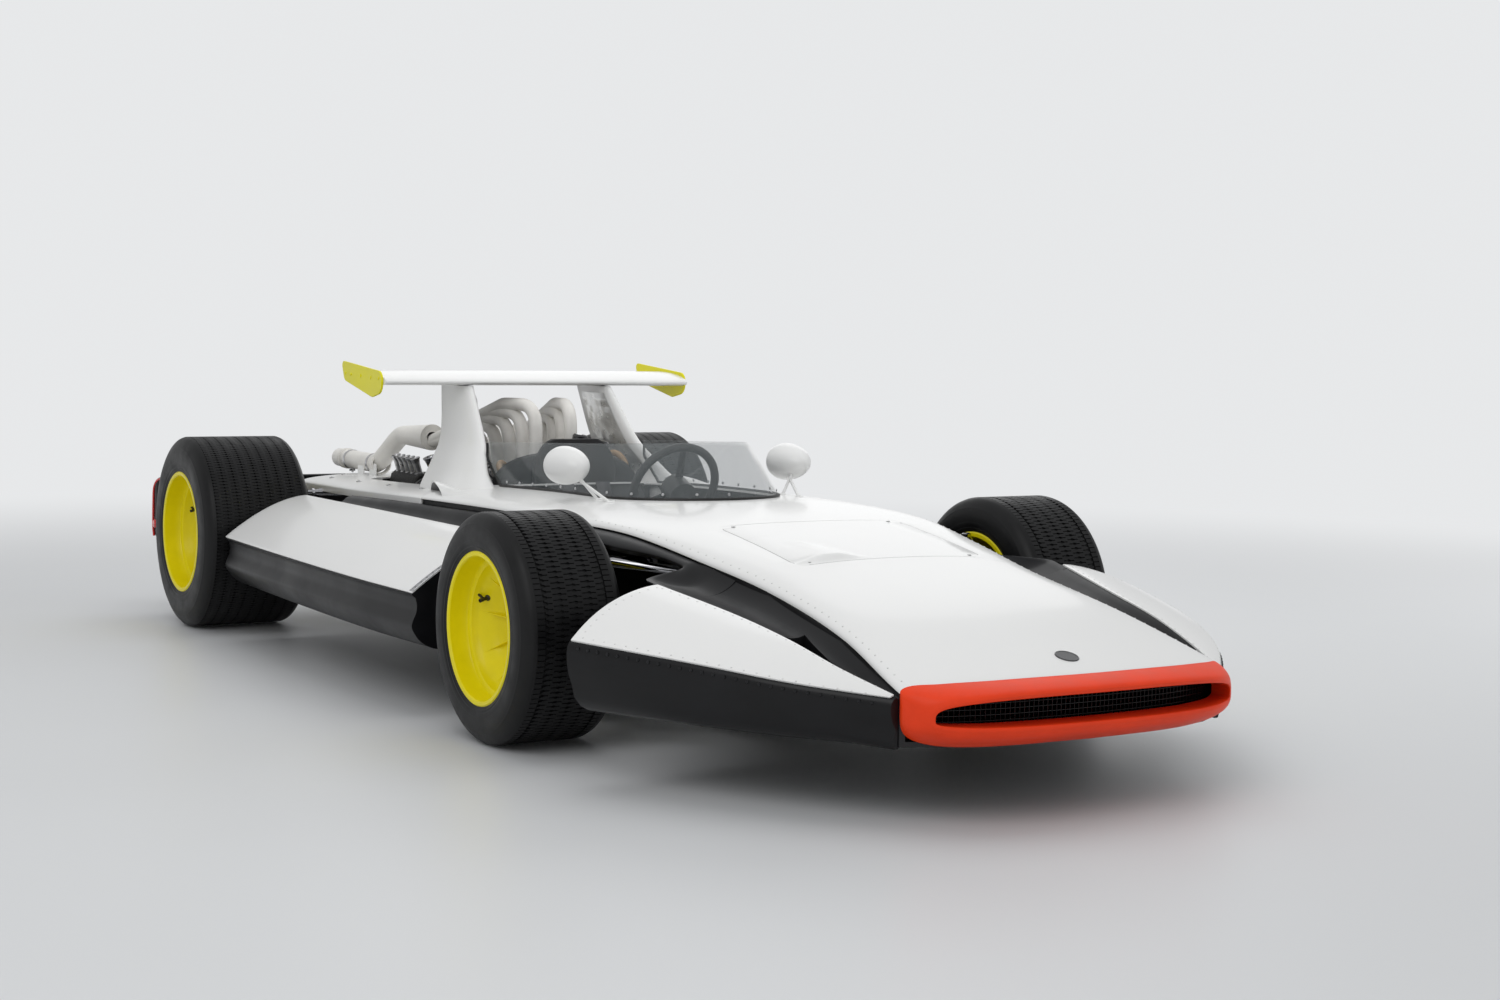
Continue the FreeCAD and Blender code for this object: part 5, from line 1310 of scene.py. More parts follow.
def dished_rim(wheel):
    x, y, z, flange, _, half, dish, hub, hub_radius = wheel
    section = rim_section(flange, half, dish, hub, hub_radius)
    rim = Piece().lathe(section, (x, y, z), (0, 1, 0), 128)
    slope = cone_slope(flange, dish, hub, hub_radius)
    near, far = hub_radius - 0.004, flange - 0.036
    for angle in turns(RIM_WEBS, 0.3):
        out = Vector((math.cos(angle), 0, math.sin(angle)))
        side = Vector((-math.sin(angle), 0, math.cos(angle))) * 0.0016
        rows = []
        for share in spaced(0.0, 1.0, 8):
            r = near + (far - near) * share
            foot = y + hub + slope * (r - hub_radius) - 0.004
            high = 0.030 * (1.0 - share) ** 1.3 + 0.007
            centre = Vector((x, 0.0, z)) + out * r
            rows.append([centre - side + Vector((0, foot, 0)),
                         centre - side * 0.8 + Vector((0, foot + high, 0)),
                         centre + side * 0.8 + Vector((0, foot + high, 0)),
                         centre + side + Vector((0, foot, 0))])
        rim.grid(rows).cap(rows[0]).cap(rows[-1], turned=True)
    return rim


def stud_ring(piece, centre, reach, out, angles, radius, height, sides=6):
    """Studs on a circle round an axle, heads outwards where out is 1 and inwards where it is -1."""
    x, y, z = centre
    for a in angles:
        place = (x + reach * math.cos(a), y, z + reach * math.sin(a))
        piece.stud(place, (0, out, 0), radius, height, sides)


rim_yellow = finish("rim_yellow", (0.84, 0.72, 0.002), 0.36, coat=0.1, gleam=0.25, mottle=0.05, patch=9.0,
                    grain=240.0, relief=0.06, coat_rough=0.12)
for wheel, name in ((FRONT_WHEEL, "front"), (REAR_WHEEL, "rear")):
    pair(dished_rim(wheel), name + "_rim_dished", rim_yellow, name + "_wheel", "yellow_paint",
         name + "_rim", 28.0)
    x, y, z, flange, _, half, dish, hub, hub_radius = wheel
    nut = Piece()
    face = y + hub + 0.034
    nut.lathe([(0.0, 0.040), (0.003, 0.040), (0.003, 0.036), (0.0075, 0.036)], (x, face, z), (0, 1, 0), 40)
    nut.lathe([(0.0075, 0.034), (0.024, 0.034), (0.027, 0.030), (0.027, 0.021)], (x, face, z), (0, 1, 0), 6)
    stud_ring(nut, (x, face - 0.0005, z), 0.050, 1, turns(6, 0.5), 0.0055, 0.006, 16)
    pair(nut, name + "_hub_nut", bright_alloy, name + "_wheel", "bare_alloy", crease=25.0)
    valve = Piece()
    slope = cone_slope(flange, dish, hub, hub_radius)
    angle, r = 2.72, flange - 0.050
    out = Vector((math.cos(angle), 0, math.sin(angle)))
    foot = Vector((x, y + hub + slope * (r - hub_radius), z)) + out * r
    lean = Vector((-out.x * 0.5, 1.0, -out.z * 0.5)).normalized()
    valve.lathe([(0.0, 0.0085), (0.004, 0.0085), (0.007, 0.0050), (0.022, 0.0042), (0.0225, 0.0052),
                 (0.033, 0.0052), (0.0345, 0.003)], foot, lean, 24)
    clip = foot + lean * 0.018
    valve.sweep([clip + out * 0.004, clip + out * 0.024 + Vector((0, 0.004, 0)), clip + out * 0.030],
                0.0038, sides=10)
    pair(valve, name + "_tyre_valve", seal_rubber, name + "_wheel", "black_trim")

# ---- front brakes, arms and steering ----------------------------------------
# Chromed tubular double arms carry forged uprights on ball joints, and the rack turns them by track rods.
# Solid iron brake discs turn with the wheels, inboard of each rim.

chrome = finish("chrome_plate", (0.50, 0.50, 0.52), 0.09, metal=1.0, mottle=0.03, patch=30.0, grain=260.0,
                relief=0.015, spread=0.04)
KINGPIN_X, KINGPIN_Y, EYE_HIGH, EYE_LOW = 0.810, 0.608, 0.462, 0.178
# Inner ends of the arms: x, z, and the height of the outer ball joint.
ARMS = [(1.010, 0.432, EYE_HIGH), (0.700, 0.432, EYE_HIGH), (0.960, 0.178, EYE_LOW),
        (0.640, 0.178, EYE_LOW)]


def link_bar(piece, start, end, radius):
    """A tubular link: necked at both ends, with a lock nut beside each rod end."""
    start, end = Vector(start), Vector(end)
    run = end - start
    long = run.length
    neck, taper = 0.030 / long, 0.052 / long
    marks = [0.0, neck, taper, 1.0 - taper, 1.0 - neck, 1.0]
    radii = [radius * 0.62, radius * 0.62, radius, radius, radius * 0.62, radius * 0.62]
    piece.sweep([start + run * m for m in marks], radii, sides=22)
    for m in (neck * 0.55, 1.0 - neck * 1.05):
        piece.lathe([(0.0, radius * 0.5), (0.0, radius * 1.02), (0.009, radius * 1.02),
                     (0.009, radius * 0.5)], start + run * m, run, 6)
    return piece


def ball_eye(piece, centre, radius, half):
    """A rod end round a pin: a barrel with rounded lips."""
    piece.lathe([(-half, radius * 0.60), (-half, radius * 0.84), (-half * 0.72, radius),
                 (half * 0.72, radius), (half, radius * 0.84), (half, radius * 0.60)], centre,
                (0, 0, 1), 36)
    return piece


arms = Piece()
for x, z, eye_z in ARMS:
    inner, outer = Vector((x, 0.352, z)), Vector((KINGPIN_X, KINGPIN_Y, eye_z))
    run = (outer - inner).normalized()
    link_bar(arms, inner, outer - run * 0.018, 0.0130)
    arms.sweep([inner - run * 0.026, inner - run * 0.012, inner + run * 0.002, inner + run * 0.012],
               [0.010, 0.0185, 0.0185, 0.009], sides=24)
for z in (EYE_HIGH, EYE_LOW):
    ball_eye(arms, (KINGPIN_X, KINGPIN_Y, z), 0.0215, 0.015)
fitted(arms.twin().made("front_wishbones", chrome, crease=28.0), "chassis", "chromed_steel", "front_arms")
mount_plates = Piece()
for x, z, _ in ARMS:
    mount_plates.block((x - 0.024, 0.330, z - 0.026), (x + 0.024, 0.336, z + 0.026))
    for dx, dz in ((-0.017, 0.018), (-0.017, -0.018), (0.017, 0.018), (0.017, -0.018)):
        mount_plates.stud((x + dx, 0.336, z + dz), (0, 1, 0), 0.0050, 0.0045, 6)
fitted(mount_plates.twin().made("arm_mount_plates", satin_black), "chassis", "black_panel")

forged = finish("forged_alloy", (0.36, 0.36, 0.37), 0.38, metal=1.0, mottle=0.12, patch=24.0, grain=160.0,
                relief=0.15)
upright = Piece()
WHEEL_Z, ROD_X, ROD_Z = FRONT_WHEEL[2], 0.920, 0.315
upright.lathe([(-0.022, 0.0), (-0.022, 0.010), (-0.018, 0.0119), (0.018, 0.0119), (0.024, 0.019),
               (0.060, 0.0235), (0.118, 0.024), (0.205, 0.0235), (0.250, 0.019), (0.262, 0.0119),
               (0.300, 0.0119), (0.306, 0.010), (0.306, 0.0)], (KINGPIN_X, KINGPIN_Y, EYE_LOW),
              (0, 0, 1), 32)
upright.lathe([(0.0, 0.030), (0.006, 0.0395), (0.056, 0.0395), (0.064, 0.037), (0.064, 0.0198),
               (0.184, 0.0198), (0.190, 0.017), (0.192, 0.0)], (KINGPIN_X, KINGPIN_Y, WHEEL_Z),
              (0, 1, 0), 40)
upright.sweep([(x, KINGPIN_Y, 0.300) for x in (KINGPIN_X, 0.870, ROD_X)],
              [0.0165, 0.0122, 0.0122], sides=22)
upright.lathe([(-0.022, 0.0), (-0.022, 0.0069), (-0.010, 0.0069), (-0.010, 0.014), (0.0115, 0.014),
               (0.0115, 0.0069), (0.022, 0.0069), (0.022, 0.0)], (ROD_X, KINGPIN_Y, 0.300), (0, 0, 1), 24)
pair(upright, "front_upright", forged, "knuckle", "bare_alloy", "knuckle", 28.0)
for side, sign in (("left", 1), ("right", -1)):
    nut = Piece()
    nut.lathe([(0.0, 0.010), (0.0, 0.0155), (0.010, 0.0155), (0.013, 0.010)],
              (KINGPIN_X, sign * KINGPIN_Y, EYE_HIGH + 0.0165), (0, 0, 1), 6)
    fitted(nut.made("kingpin_nut_" + side, chrome), "knuckle_" + side, "chromed_steel")

track_rod = link_bar(Piece(), (ROD_X, 0.401, ROD_Z), (ROD_X, KINGPIN_Y - 0.0145, ROD_Z), 0.0088)
track_rod.lathe([(-0.0025, 0.0076), (-0.0025, 0.0145), (0.0025, 0.0145), (0.0025, 0.0076)],
                (ROD_X, KINGPIN_Y, ROD_Z), (0, 0, 1), 32)
pair(track_rod, "track_rod", chrome, "tie_rod", "chromed_steel", "tie_rod", 28.0)

iron = finish("machined_iron", (0.33, 0.32, 0.31), 0.30, metal=1.0, mottle=0.10, patch=18.0, grain=420.0,
              relief=0.10)
disc = Piece()
DISC_Y = 0.680
disc.lathe([(0.0, 0.021), (0.0, 0.138), (0.001, 0.140), (0.007, 0.140), (0.0075, 0.132), (0.0105, 0.132),
            (0.011, 0.140), (0.017, 0.140), (0.018, 0.138), (0.018, 0.064), (0.021, 0.060), (0.053, 0.059),
            (0.057, 0.055), (0.057, 0.021)], (KINGPIN_X, DISC_Y, WHEEL_Z), (0, 1, 0), 80)
stud_ring(disc, (KINGPIN_X, DISC_Y, WHEEL_Z), 0.076, -1, turns(12), 0.0045, 0.0035)
pair(disc, "brake_disc", iron, "front_wheel", "brake_iron", "front_disc", 28.0)

rack_look = finish("cast_rack_housing", (0.30, 0.30, 0.31), 0.40, metal=1.0, mottle=0.1, patch=20.0,
                   grain=120.0, relief=0.3)


def clad(look, *names):
    """Gives carried-over CAD solids a material of their own."""
    for name in names:
        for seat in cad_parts[name].material_slots:
            seat.link = "OBJECT"
            seat.material = look


clad(rack_look, "rack_housing")
clad(chrome, "rack_bar")

# ---- rear suspension and half shafts ----------------------------------------
# Cast uprights hang on chromed links and radius rods, with a coil-over and a jointed shaft each side.
# The links are screwed to rod ends, and the rubber bellows over the shaft joints are turned in one with the
# shafts, in their forged finish.

cast_magnesium = finish("cast_magnesium", (0.20, 0.19, 0.17), 0.52, metal=0.85, mottle=0.18, patch=16.0,
                        grain=150.0, relief=0.5)
# Links: end on the casing or tub, end on the upright, radius.
REAR_LINKS = [
    ((-1.560, 0.128, 0.450), (-1.585, 0.525, 0.455), 0.0120),
    ((-1.500, 0.128, 0.190), (-1.575, 0.525, 0.185), 0.0120),
    ((-1.700, 0.128, 0.190), (-1.605, 0.525, 0.185), 0.0120),
    ((-0.575, 0.215, 0.400), (-1.540, 0.535, 0.429), 0.0110),
    ((-0.575, 0.215, 0.190), (-1.540, 0.535, 0.214), 0.0110),
]
links = Piece()
for start, end, radius in REAR_LINKS:
    link_bar(links, start, end, radius)
DAMPER_TOP, DAMPER_FOOT = Vector((-1.690, 0.128, 0.455)), Vector((-1.6755, 0.520, 0.244))
run = DAMPER_FOOT - DAMPER_TOP
links.sweep([DAMPER_TOP + run * s for s in (0.0, 0.06, 0.06, 0.62, 0.62, 0.95, 1.0)],
            [0.008, 0.010, 0.0155, 0.0155, 0.009, 0.009, 0.011], sides=24)
across_run = run.orthogonal().normalized()
third = run.normalized().cross(across_run)
coil = []
COIL_TURNS, COIL_R, COIL_WIRE = 8, 0.0205, 0.0036
for t in spaced(0.0, 1.0, COIL_TURNS * 18 + 1):
    angle = 2 * math.pi * COIL_TURNS * t
    out = across_run * math.cos(angle) + third * math.sin(angle)
    coil.append(DAMPER_TOP + run * (0.14 + 0.66 * t) + out * COIL_R)
links.sweep(coil, COIL_WIRE, sides=9)
for share in (0.125, 0.815):
    links.lathe([(0.0, 0.012), (0.0, 0.0245), (0.005, 0.0245), (0.005, 0.012)],
                DAMPER_TOP + run * share, run, 32)
fitted(links.twin().made("rear_links_and_dampers", chrome, crease=28.0), "chassis", "chromed_steel",
       "rear_links")

REAR_X, REAR_Z, UPRIGHT_Y = REAR_WHEEL[0], REAR_WHEEL[2], 0.545
rear_upright = Piece()
# Section of a flat bar with cut corners, in shares of its half width and half thickness.
CUT_CORNERS = ((-1, -0.6), (-0.8, -1), (0.8, -1), (1, -0.6), (1, 0.6), (0.8, 1), (-0.8, 1), (-1, 0.6))
# Waisted casting: height, half length, half thickness.
for rows in ([(0.170, 0.026, 0.018), (0.200, 0.040, 0.021), (0.262, 0.034, 0.021)],
             [(0.392, 0.034, 0.021), (0.440, 0.030, 0.020), (0.466, 0.036, 0.021), (0.480, 0.024, 0.018)]):
    rear_upright.tube([[(REAR_X + dx * long, UPRIGHT_Y + dy * wide, z) for dx, dy in CUT_CORNERS]
                       for z, long, wide in rows], turned=True)
rear_upright.lathe([(-0.025, 0.030), (-0.025, 0.066), (-0.020, 0.070), (0.030, 0.070), (0.036, 0.063),
                    (0.112, 0.060), (0.120, 0.055), (0.120, 0.030)], (REAR_X, UPRIGHT_Y, REAR_Z),
                   (0, 1, 0), 48)
stud_ring(rear_upright, (REAR_X, UPRIGHT_Y - 0.0245, REAR_Z), 0.050, -1, turns(6, 0.5), 0.006, 0.006)
fitted(rear_upright.twin().made("rear_upright_castings", cast_magnesium, crease=30.0), "chassis",
       "bare_alloy", "rear_uprights")
half_shaft = Piece()
shaft = [(0.126, 0.028), (0.126, 0.048), (0.134, 0.050), (0.150, 0.050)]
for k, start in enumerate((0.150, 0.444)):
    for i in range(4):
        y = start + 0.0088 * i
        shaft += [(y + 0.002, 0.049 - 0.004 * i if k == 0 else 0.037 + 0.004 * i),
                  (y + 0.006, 0.041 - 0.004 * i if k == 0 else 0.033 + 0.004 * i)]
    if k == 0:
        shaft += [(0.188, 0.0215), (0.300, 0.0200), (0.440, 0.0215)]
shaft += [(0.484, 0.050), (0.502, 0.050), (0.506, 0.047), (0.506, 0.0275), (0.775, 0.0275), (0.812, 0.0270),
          (0.815, 0.022), (0.815, 0.0)]
half_shaft.lathe(shaft, (REAR_X, 0.0, REAR_Z), (0, 1, 0), 44)
pair(half_shaft, "rear_half_shaft", forged, "rear_wheel", "bare_alloy", "half_shaft", 26.0)

# ---- engine and gearbox -----------------------------------------------------
# A twelve-cylinder block of cast alloy with black crackle-painted cam covers, bolted to a finned gearbox.
# Plug leads, studs and ribs dress the castings, and two rows of chromed trumpets stand on the ports.

clad(cast_magnesium, "engine_block", "gearbox")
crackle = finish("crackle_black", (0.020, 0.019, 0.018), 0.55, mottle=0.25, patch=60.0,
                 grain=700.0, relief=0.9)
LEAN = math.radians(32.0)
HEAD_FOOT_Z, HEAD_HIGH = 0.350, 0.190
HEAD_UP = (0, math.sin(LEAN), math.cos(LEAN))
CYLINDERS = [-0.700 - 0.092 * i for i in range(6)]


def on_head(x, out, up):
    """Place on the left head: out from its middle and up from its foot, leaned outwards."""
    return Vector((x, 0.095 + out * math.cos(LEAN) + up * math.sin(LEAN),
                   HEAD_FOOT_Z - out * math.sin(LEAN) + up * math.cos(LEAN)))


covers = Piece()
# Section of a cover: out from its middle, up from the head.
COVER = [(-0.031, -0.004), (-0.031, 0.016), (-0.024, 0.026), (-0.010, 0.031), (0.010, 0.031),
         (0.024, 0.026), (0.031, 0.016), (0.031, -0.004)]
for middle in (-0.041, 0.041):
    rows = []
    for x, swell in ((-0.652, 0.0), (-0.656, 0.75), (-0.668, 1.0), (-1.222, 1.0), (-1.234, 0.75),
                     (-1.238, 0.0)):
        rows.append([on_head(x, middle + out * (0.9 + 0.1 * swell), HEAD_HIGH + up * swell)
                     for out, up in COVER])
    covers.grid(rows)
    for i in range(12):
        covers.grid([[on_head(-0.690 - 0.046 * i - d, middle + out * 1.01, HEAD_HIGH + up + 0.0022)
                      for out, up in COVER[1:-1]] for d in (0.0, 0.004)])
fitted(thick(covers.twin().made("cam_covers", crackle, crease=35.0), 0.0018), "chassis", "cast_engine")
dressing = Piece()
for i in range(13):
    x = -0.668 - 0.046 * i
    for out in (-0.074, -0.008, 0.008, 0.074):
        dressing.stud(on_head(x, out, HEAD_HIGH + 0.001), HEAD_UP, 0.0042, 0.006, 6)
for i in range(8):
    dressing.block((-0.640 - 0.08 * i, 0.190, 0.150), (-0.634 - 0.08 * i, 0.1945, 0.330))
    dressing.stud((-0.600 - 0.09 * i, 0.190, 0.140), (0, 1, 0), 0.007, 0.006, 6)
for i in range(7):
    share = i / 6
    half = 0.148 - 0.026 * share
    dressing.block((-1.310 - 0.150 * share, half - 0.002, 0.190),
                   (-1.304 - 0.150 * share, half + 0.010, 0.440))
fitted(dressing.twin().made("casting_ribs_and_studs", cast_magnesium), "chassis", "cast_engine")
lead_rubber = finish("plug_lead", (0.05, 0.05, 0.055), 0.42, mottle=0.2, patch=40.0)
leads = Piece()
for x in CYLINDERS:
    cap = on_head(x, 0.0, HEAD_HIGH + 0.030)
    leads.lathe([(-0.030, 0.0085), (0.0, 0.0085), (0.006, 0.006)], cap, HEAD_UP, 16)
    path = [cap, cap + Vector((0.008, 0.006, 0.022)), cap + Vector((0.040, -0.022, 0.026)),
            on_head(x + 0.088, -0.004, HEAD_HIGH + 0.040)]
    leads.sweep(curve(path, 14), 0.0034, sides=8)
fitted(leads.twin().made("plug_leads", lead_rubber), "chassis", "black_trim")

TRUMPET_Y, TRUMPET_Z = 0.205, 0.535
TRUMPET_LEAN = Vector((0.0, 0.35, 1.0)).normalized()
# Outline of a trumpet, up its outside and down its throat.
BELL = [(-0.060, 0.0200), (-0.052, 0.0200), (-0.052, 0.0172), (0.0, 0.0170), (0.030, 0.0180),
        (0.050, 0.0202), (0.062, 0.0232), (0.068, 0.0262), (0.0705, 0.0270), (0.0715, 0.0258),
        (0.0690, 0.0236), (0.062, 0.0212), (0.045, 0.0182), (0.0, 0.0154), (-0.050, 0.0154), (-0.050, 0.0)]
trumpets = Piece()
for x in CYLINDERS:
    throat = Vector((x, TRUMPET_Y, TRUMPET_Z))
    trumpets.lathe(BELL, throat, TRUMPET_LEAN, 40)
    trumpets.lathe([(-0.040, 0.018), (-0.040, 0.0196), (-0.030, 0.0196), (-0.030, 0.018)], throat,
                   TRUMPET_LEAN, 24)
fitted(trumpets.twin().made("intake_trumpets_polished", chrome, crease=40.0), "chassis", "polished_trumpet",
       "intake_trumpets")
rail = Piece()
for dy, dz in ((0.030, -0.016), (-0.030, -0.010)):
    rail.sweep([(x, TRUMPET_Y + dy, TRUMPET_Z + dz) for x in (-0.672, -1.190)], 0.0050, sides=14)
    for x in CYLINDERS:
        rail.sweep([(x, TRUMPET_Y + dy * reach, TRUMPET_Z + dz) for reach in (1.0, 0.4)], 0.0034, sides=10)
fitted(rail.twin().made("fuel_rails", chrome), "chassis", "chromed_steel")

# ---- metering units ---------------------------------------------------------
# Behind each row of trumpets a black ribbed metering box stands on the gearbox, with polished stacks.
# Two feet bolt each box down to the casing.

# Section of a box: y, z, and its middle.
METER_Y = 0.201
METER_BOX = [(0.158, 0.478), (0.152, 0.500), (0.160, 0.524), (0.178, 0.536), (0.224, 0.536), (0.240, 0.524),
             (0.246, 0.500), (0.240, 0.478)]
meters = Piece()
rows = [[(x, METER_Y + (y - METER_Y) * (0.86 + 0.14 * swell), z - 0.006 * (1 - swell))
         for y, z in METER_BOX]
        for x, swell in ((-1.262, 0.0), (-1.266, 0.75), (-1.276, 1.0), (-1.484, 1.0), (-1.494, 0.75),
                         (-1.498, 0.0))]
meters.tube(rows, turned=True)
for i in range(9):
    meters.grid([[(-1.286 - 0.0235 * i - d, y, z + 0.0018) for y, z in METER_BOX[1:-1]]
                 for d in (0.0, 0.005)])
for x in (-1.300, -1.440):
    meters.block((x, 0.150, 0.400), (x + 0.018, 0.170, 0.500))
    meters.block((x, 0.118, 0.400), (x + 0.018, 0.160, 0.408))
fitted(meters.twin().made("metering_boxes", crackle, crease=32.0), "chassis", "cast_engine")
stacks = Piece()
for i in range(5):
    x = -1.292 - 0.044 * i
    stacks.lathe([(-0.004, 0.0160), (0.0, 0.0160), (0.002, 0.0130), (0.034, 0.0130), (0.046, 0.0150),
                  (0.054, 0.0185), (0.0555, 0.0175), (0.048, 0.0135), (0.034, 0.0112), (0.004, 0.0112),
                  (0.004, 0.0)], (x, 0.216, 0.5365), (0.0, 0.30, 1.0), 28)
fitted(stacks.twin().made("metering_stacks", bright_alloy, crease=40.0), "chassis", "polished_trumpet")

# ---- exhaust ----------------------------------------------------------------
# Twelve white ceramic-coated pipes rise from the vee behind the driver and curl over to two collectors.
# Each collector leads over the deck to a tail pipe, with clamp bands and slip joints on the way.

ceramic = finish("ceramic_coating", (0.82, 0.80, 0.76), 0.42, mottle=0.05, patch=12.0, grain=120.0,
                 relief=0.12, spread=0.08)
# Each pipe: station of its port, height and y it rises to, station and y where it bends down.
HEADERS = [(-0.665, 0.800, 0.062, -0.850, 0.095), (-0.750, 0.772, 0.074, -0.930, 0.104),
           (-0.835, 0.746, 0.086, -1.000, 0.113), (-0.920, 0.720, 0.098, -1.060, 0.122),
           (-1.005, 0.694, 0.112, -1.120, 0.131), (-1.090, 0.668, 0.126, -1.190, 0.142)]
HEADER_END = Vector((-1.330, 0.165, 0.640))
COLLECTOR = [Vector(p) for p in ((-1.296, 0.165, 0.660), (-1.530, 0.187, 0.658), (-1.665, 0.222, 0.545),
                                 (-2.060, 0.222, 0.545))]


def bent(points, bend, steps=9):
    """The points of a line whose corners are rounded to a bend radius."""
    points = [Vector(p) for p in points]
    found = [points[0]]
    for before, corner, after in zip(points, points[1:], points[2:]):
        back, onward = (before - corner), (after - corner)
        half = back.angle(onward) / 2
        reach = min(bend / math.tan(half), 0.48 * back.length, 0.48 * onward.length)
        start, end = corner + back.normalized() * reach, corner + onward.normalized() * reach
        for t in spaced(0.0, 1.0, steps):
            found.append(start * (1 - t) ** 2 + corner * 2 * t * (1 - t) + end * t ** 2)
    return found + [points[-1]]


pipes = Piece()
for x, rise_z, rise_y, bend_x, bend_y in HEADERS:
    route = [(x, 0.066, 0.470), (x + 0.005, rise_y, rise_z), (bend_x, bend_y, rise_z - 0.004), HEADER_END]
    pipes.sweep(bent(route, 0.105, 12), 0.0215, sides=26)
    foot = Vector((x, 0.066, 0.500))
    pipes.lathe([(-0.004, 0.021), (-0.004, 0.0285), (0.004, 0.0285), (0.004, 0.021)], foot,
                (0.03, 0, 1), 24)
collector = bent(COLLECTOR, 0.110, 14)
pipes.sweep(collector, [0.046 - 0.012 * eased((-1.300 - p.x) / 0.11) for p in collector], sides=36,
            capped=False)
tail = COLLECTOR[-1]
pipes.lathe([(0.0, 0.034), (0.0, 0.0305), (0.150, 0.0300), (0.158, 0.0)], tail, (1, 0, 0), 36)
pipes.lathe([(0.0, 0.020), (0.0, 0.046)], COLLECTOR[0], (-1, 0, 0), 36)
for x, swell in ((-1.640, 0.0045), (-1.655, 0.0035), (-1.980, 0.0045), (-1.997, 0.0035)):
    pipes.lathe([(-0.006, 0.033), (-0.005, 0.034 + swell), (0.005, 0.034 + swell), (0.006, 0.033)],
                (x, tail.y, tail.z), (1, 0, 0), 36)
fitted(pipes.twin().made("exhaust_headers", ceramic, crease=40.0), "chassis", "ceramic_white", "exhausts")
clamps = Piece()
for x in (-1.700, -1.930):
    clamps.lathe([(-0.007, 0.0335), (-0.007, 0.0362), (0.007, 0.0362), (0.007, 0.0335)],
                 (x, tail.y, tail.z), (1, 0, 0), 40)
    clamps.sweep([(x, tail.y - 0.010, tail.z - 0.040), (x, tail.y + 0.012, tail.z - 0.040)],
                 0.0040, sides=10)
    clamps.block((x - 0.006, tail.y - 0.002, 0.496), (x + 0.006, tail.y + 0.002, tail.z - 0.034))
fitted(clamps.twin().made("exhaust_clamps", bright_alloy), "chassis", "bare_alloy")
brackets = Piece()
for x in (-1.640, -1.760):
    brackets.block((x - 0.030, 0.250, 0.498), (x + 0.030, 0.254, 0.548))
brackets.block((-1.800, 0.160, 0.496), (-1.600, 0.300, 0.502))
fitted(brackets.twin().made("tail_pipe_brackets", white_gloss), "chassis", "white_body")

# ---- tub, duct and radiator -------------------------------------------------
# The folded sheet box that the driver sits in, its air duct and the finned radiator across it.
# Rivets run along the flanks, and the lower parts are painted satin black.

tub_black = finish("tub_paint", (0.010, 0.010, 0.011), 0.42, gleam=0.4, mottle=0.3, patch=7.0, grain=160.0,
                   relief=0.06, spread=0.10)
clad(tub_black, "tub", "nose_duct", "dash_beam")
radiator_look = finish("radiator_fins", (0.045, 0.045, 0.045), 0.50, metal=0.6, mottle=0.3, patch=60.0,
                       grain=900.0, relief=0.9)
clad(radiator_look, "radiator")
tub_rivets = Piece()
for y, z in ((0.4925, 0.205), (0.4925, 0.300)):
    rivet_row(tub_rivets, [((x, y, z), (0, 1, 0)) for x in (0.600, -0.560)], 0.034, 0.0026, 0.0012)
for z in (0.180, 0.300):
    rivet_row(tub_rivets, [((x, 0.3305, z), (0, 1, 0)) for x in (1.160, 0.640)], 0.034, 0.0026, 0.0012)
fitted(tub_rivets.twin().made("tub_rivets", tub_black), "chassis", "black_panel")

# ---- driver's seat and head restraint ---------------------------------------
# A black padded bucket sewn in lengthwise channels, and a black pad behind the driver's helmet.
# Both are vinyl over foam, fixed to the tub and to the bulkhead.

vinyl = finish("black_vinyl", (0.012, 0.012, 0.013), 0.46, gleam=0.4, mottle=0.2, patch=9.0, grain=260.0,
               relief=0.35, spread=0.08)
SEAT_HALF, SEAT_THICK = 0.228, 0.050
# The seat's face at its middle: x, z.
SEAT_FACE = [(0.292, 0.246), (0.060, 0.209), (-0.120, 0.180), (-0.232, 0.196), (-0.326, 0.334),
             (-0.436, 0.556)]
seat_line = curve([(x, 0.0, z) for x, z in SEAT_FACE], 70)
CHANNELS = 7


def cushion(line, half, depth, channels, roll):
    """A padded panel on a line: crowned, sewn in channels, closed behind, thin towards its edges."""
    pad = Piece()
    rows = []
    for i, p in enumerate(line):
        run = (line[min(i + 1, len(line) - 1)] - line[max(i - 1, 0)]).normalized()
        normal = Vector((-run.z, 0, run.x))
        if normal.z < 0:
            normal.negate()
        end = min(i, len(line) - 1 - i) / (len(line) - 1)
        swell = eased(end / 0.07 + 0.12)
        front, back = [], []
        for share in spaced(-1.0, 1.0, 61):
            puff = abs(math.cos(math.pi * channels * (share + 1.0) / 2
                                + (0.0 if channels % 2 else math.pi / 2)))
            rim = eased((1.0 - abs(share)) / 0.10 + 0.05)
            lift = (0.0035 * (1.0 - puff ** 6) + roll * abs(share) ** 3) * rim
            y = half * share * (0.985 + 0.015 * swell)
            top = p + normal * (lift - depth * 0.42 * (1.0 - swell) - depth * 0.42 * (1.0 - rim))
            low = p - normal * (depth - depth * 0.42 * (1.0 - rim) - depth * 0.42 * (1.0 - swell))
            front.append((top.x, y, top.z))
            back.append((low.x, y, low.z))
        rows.append(front + back[::-1])
    return pad.tube(rows)


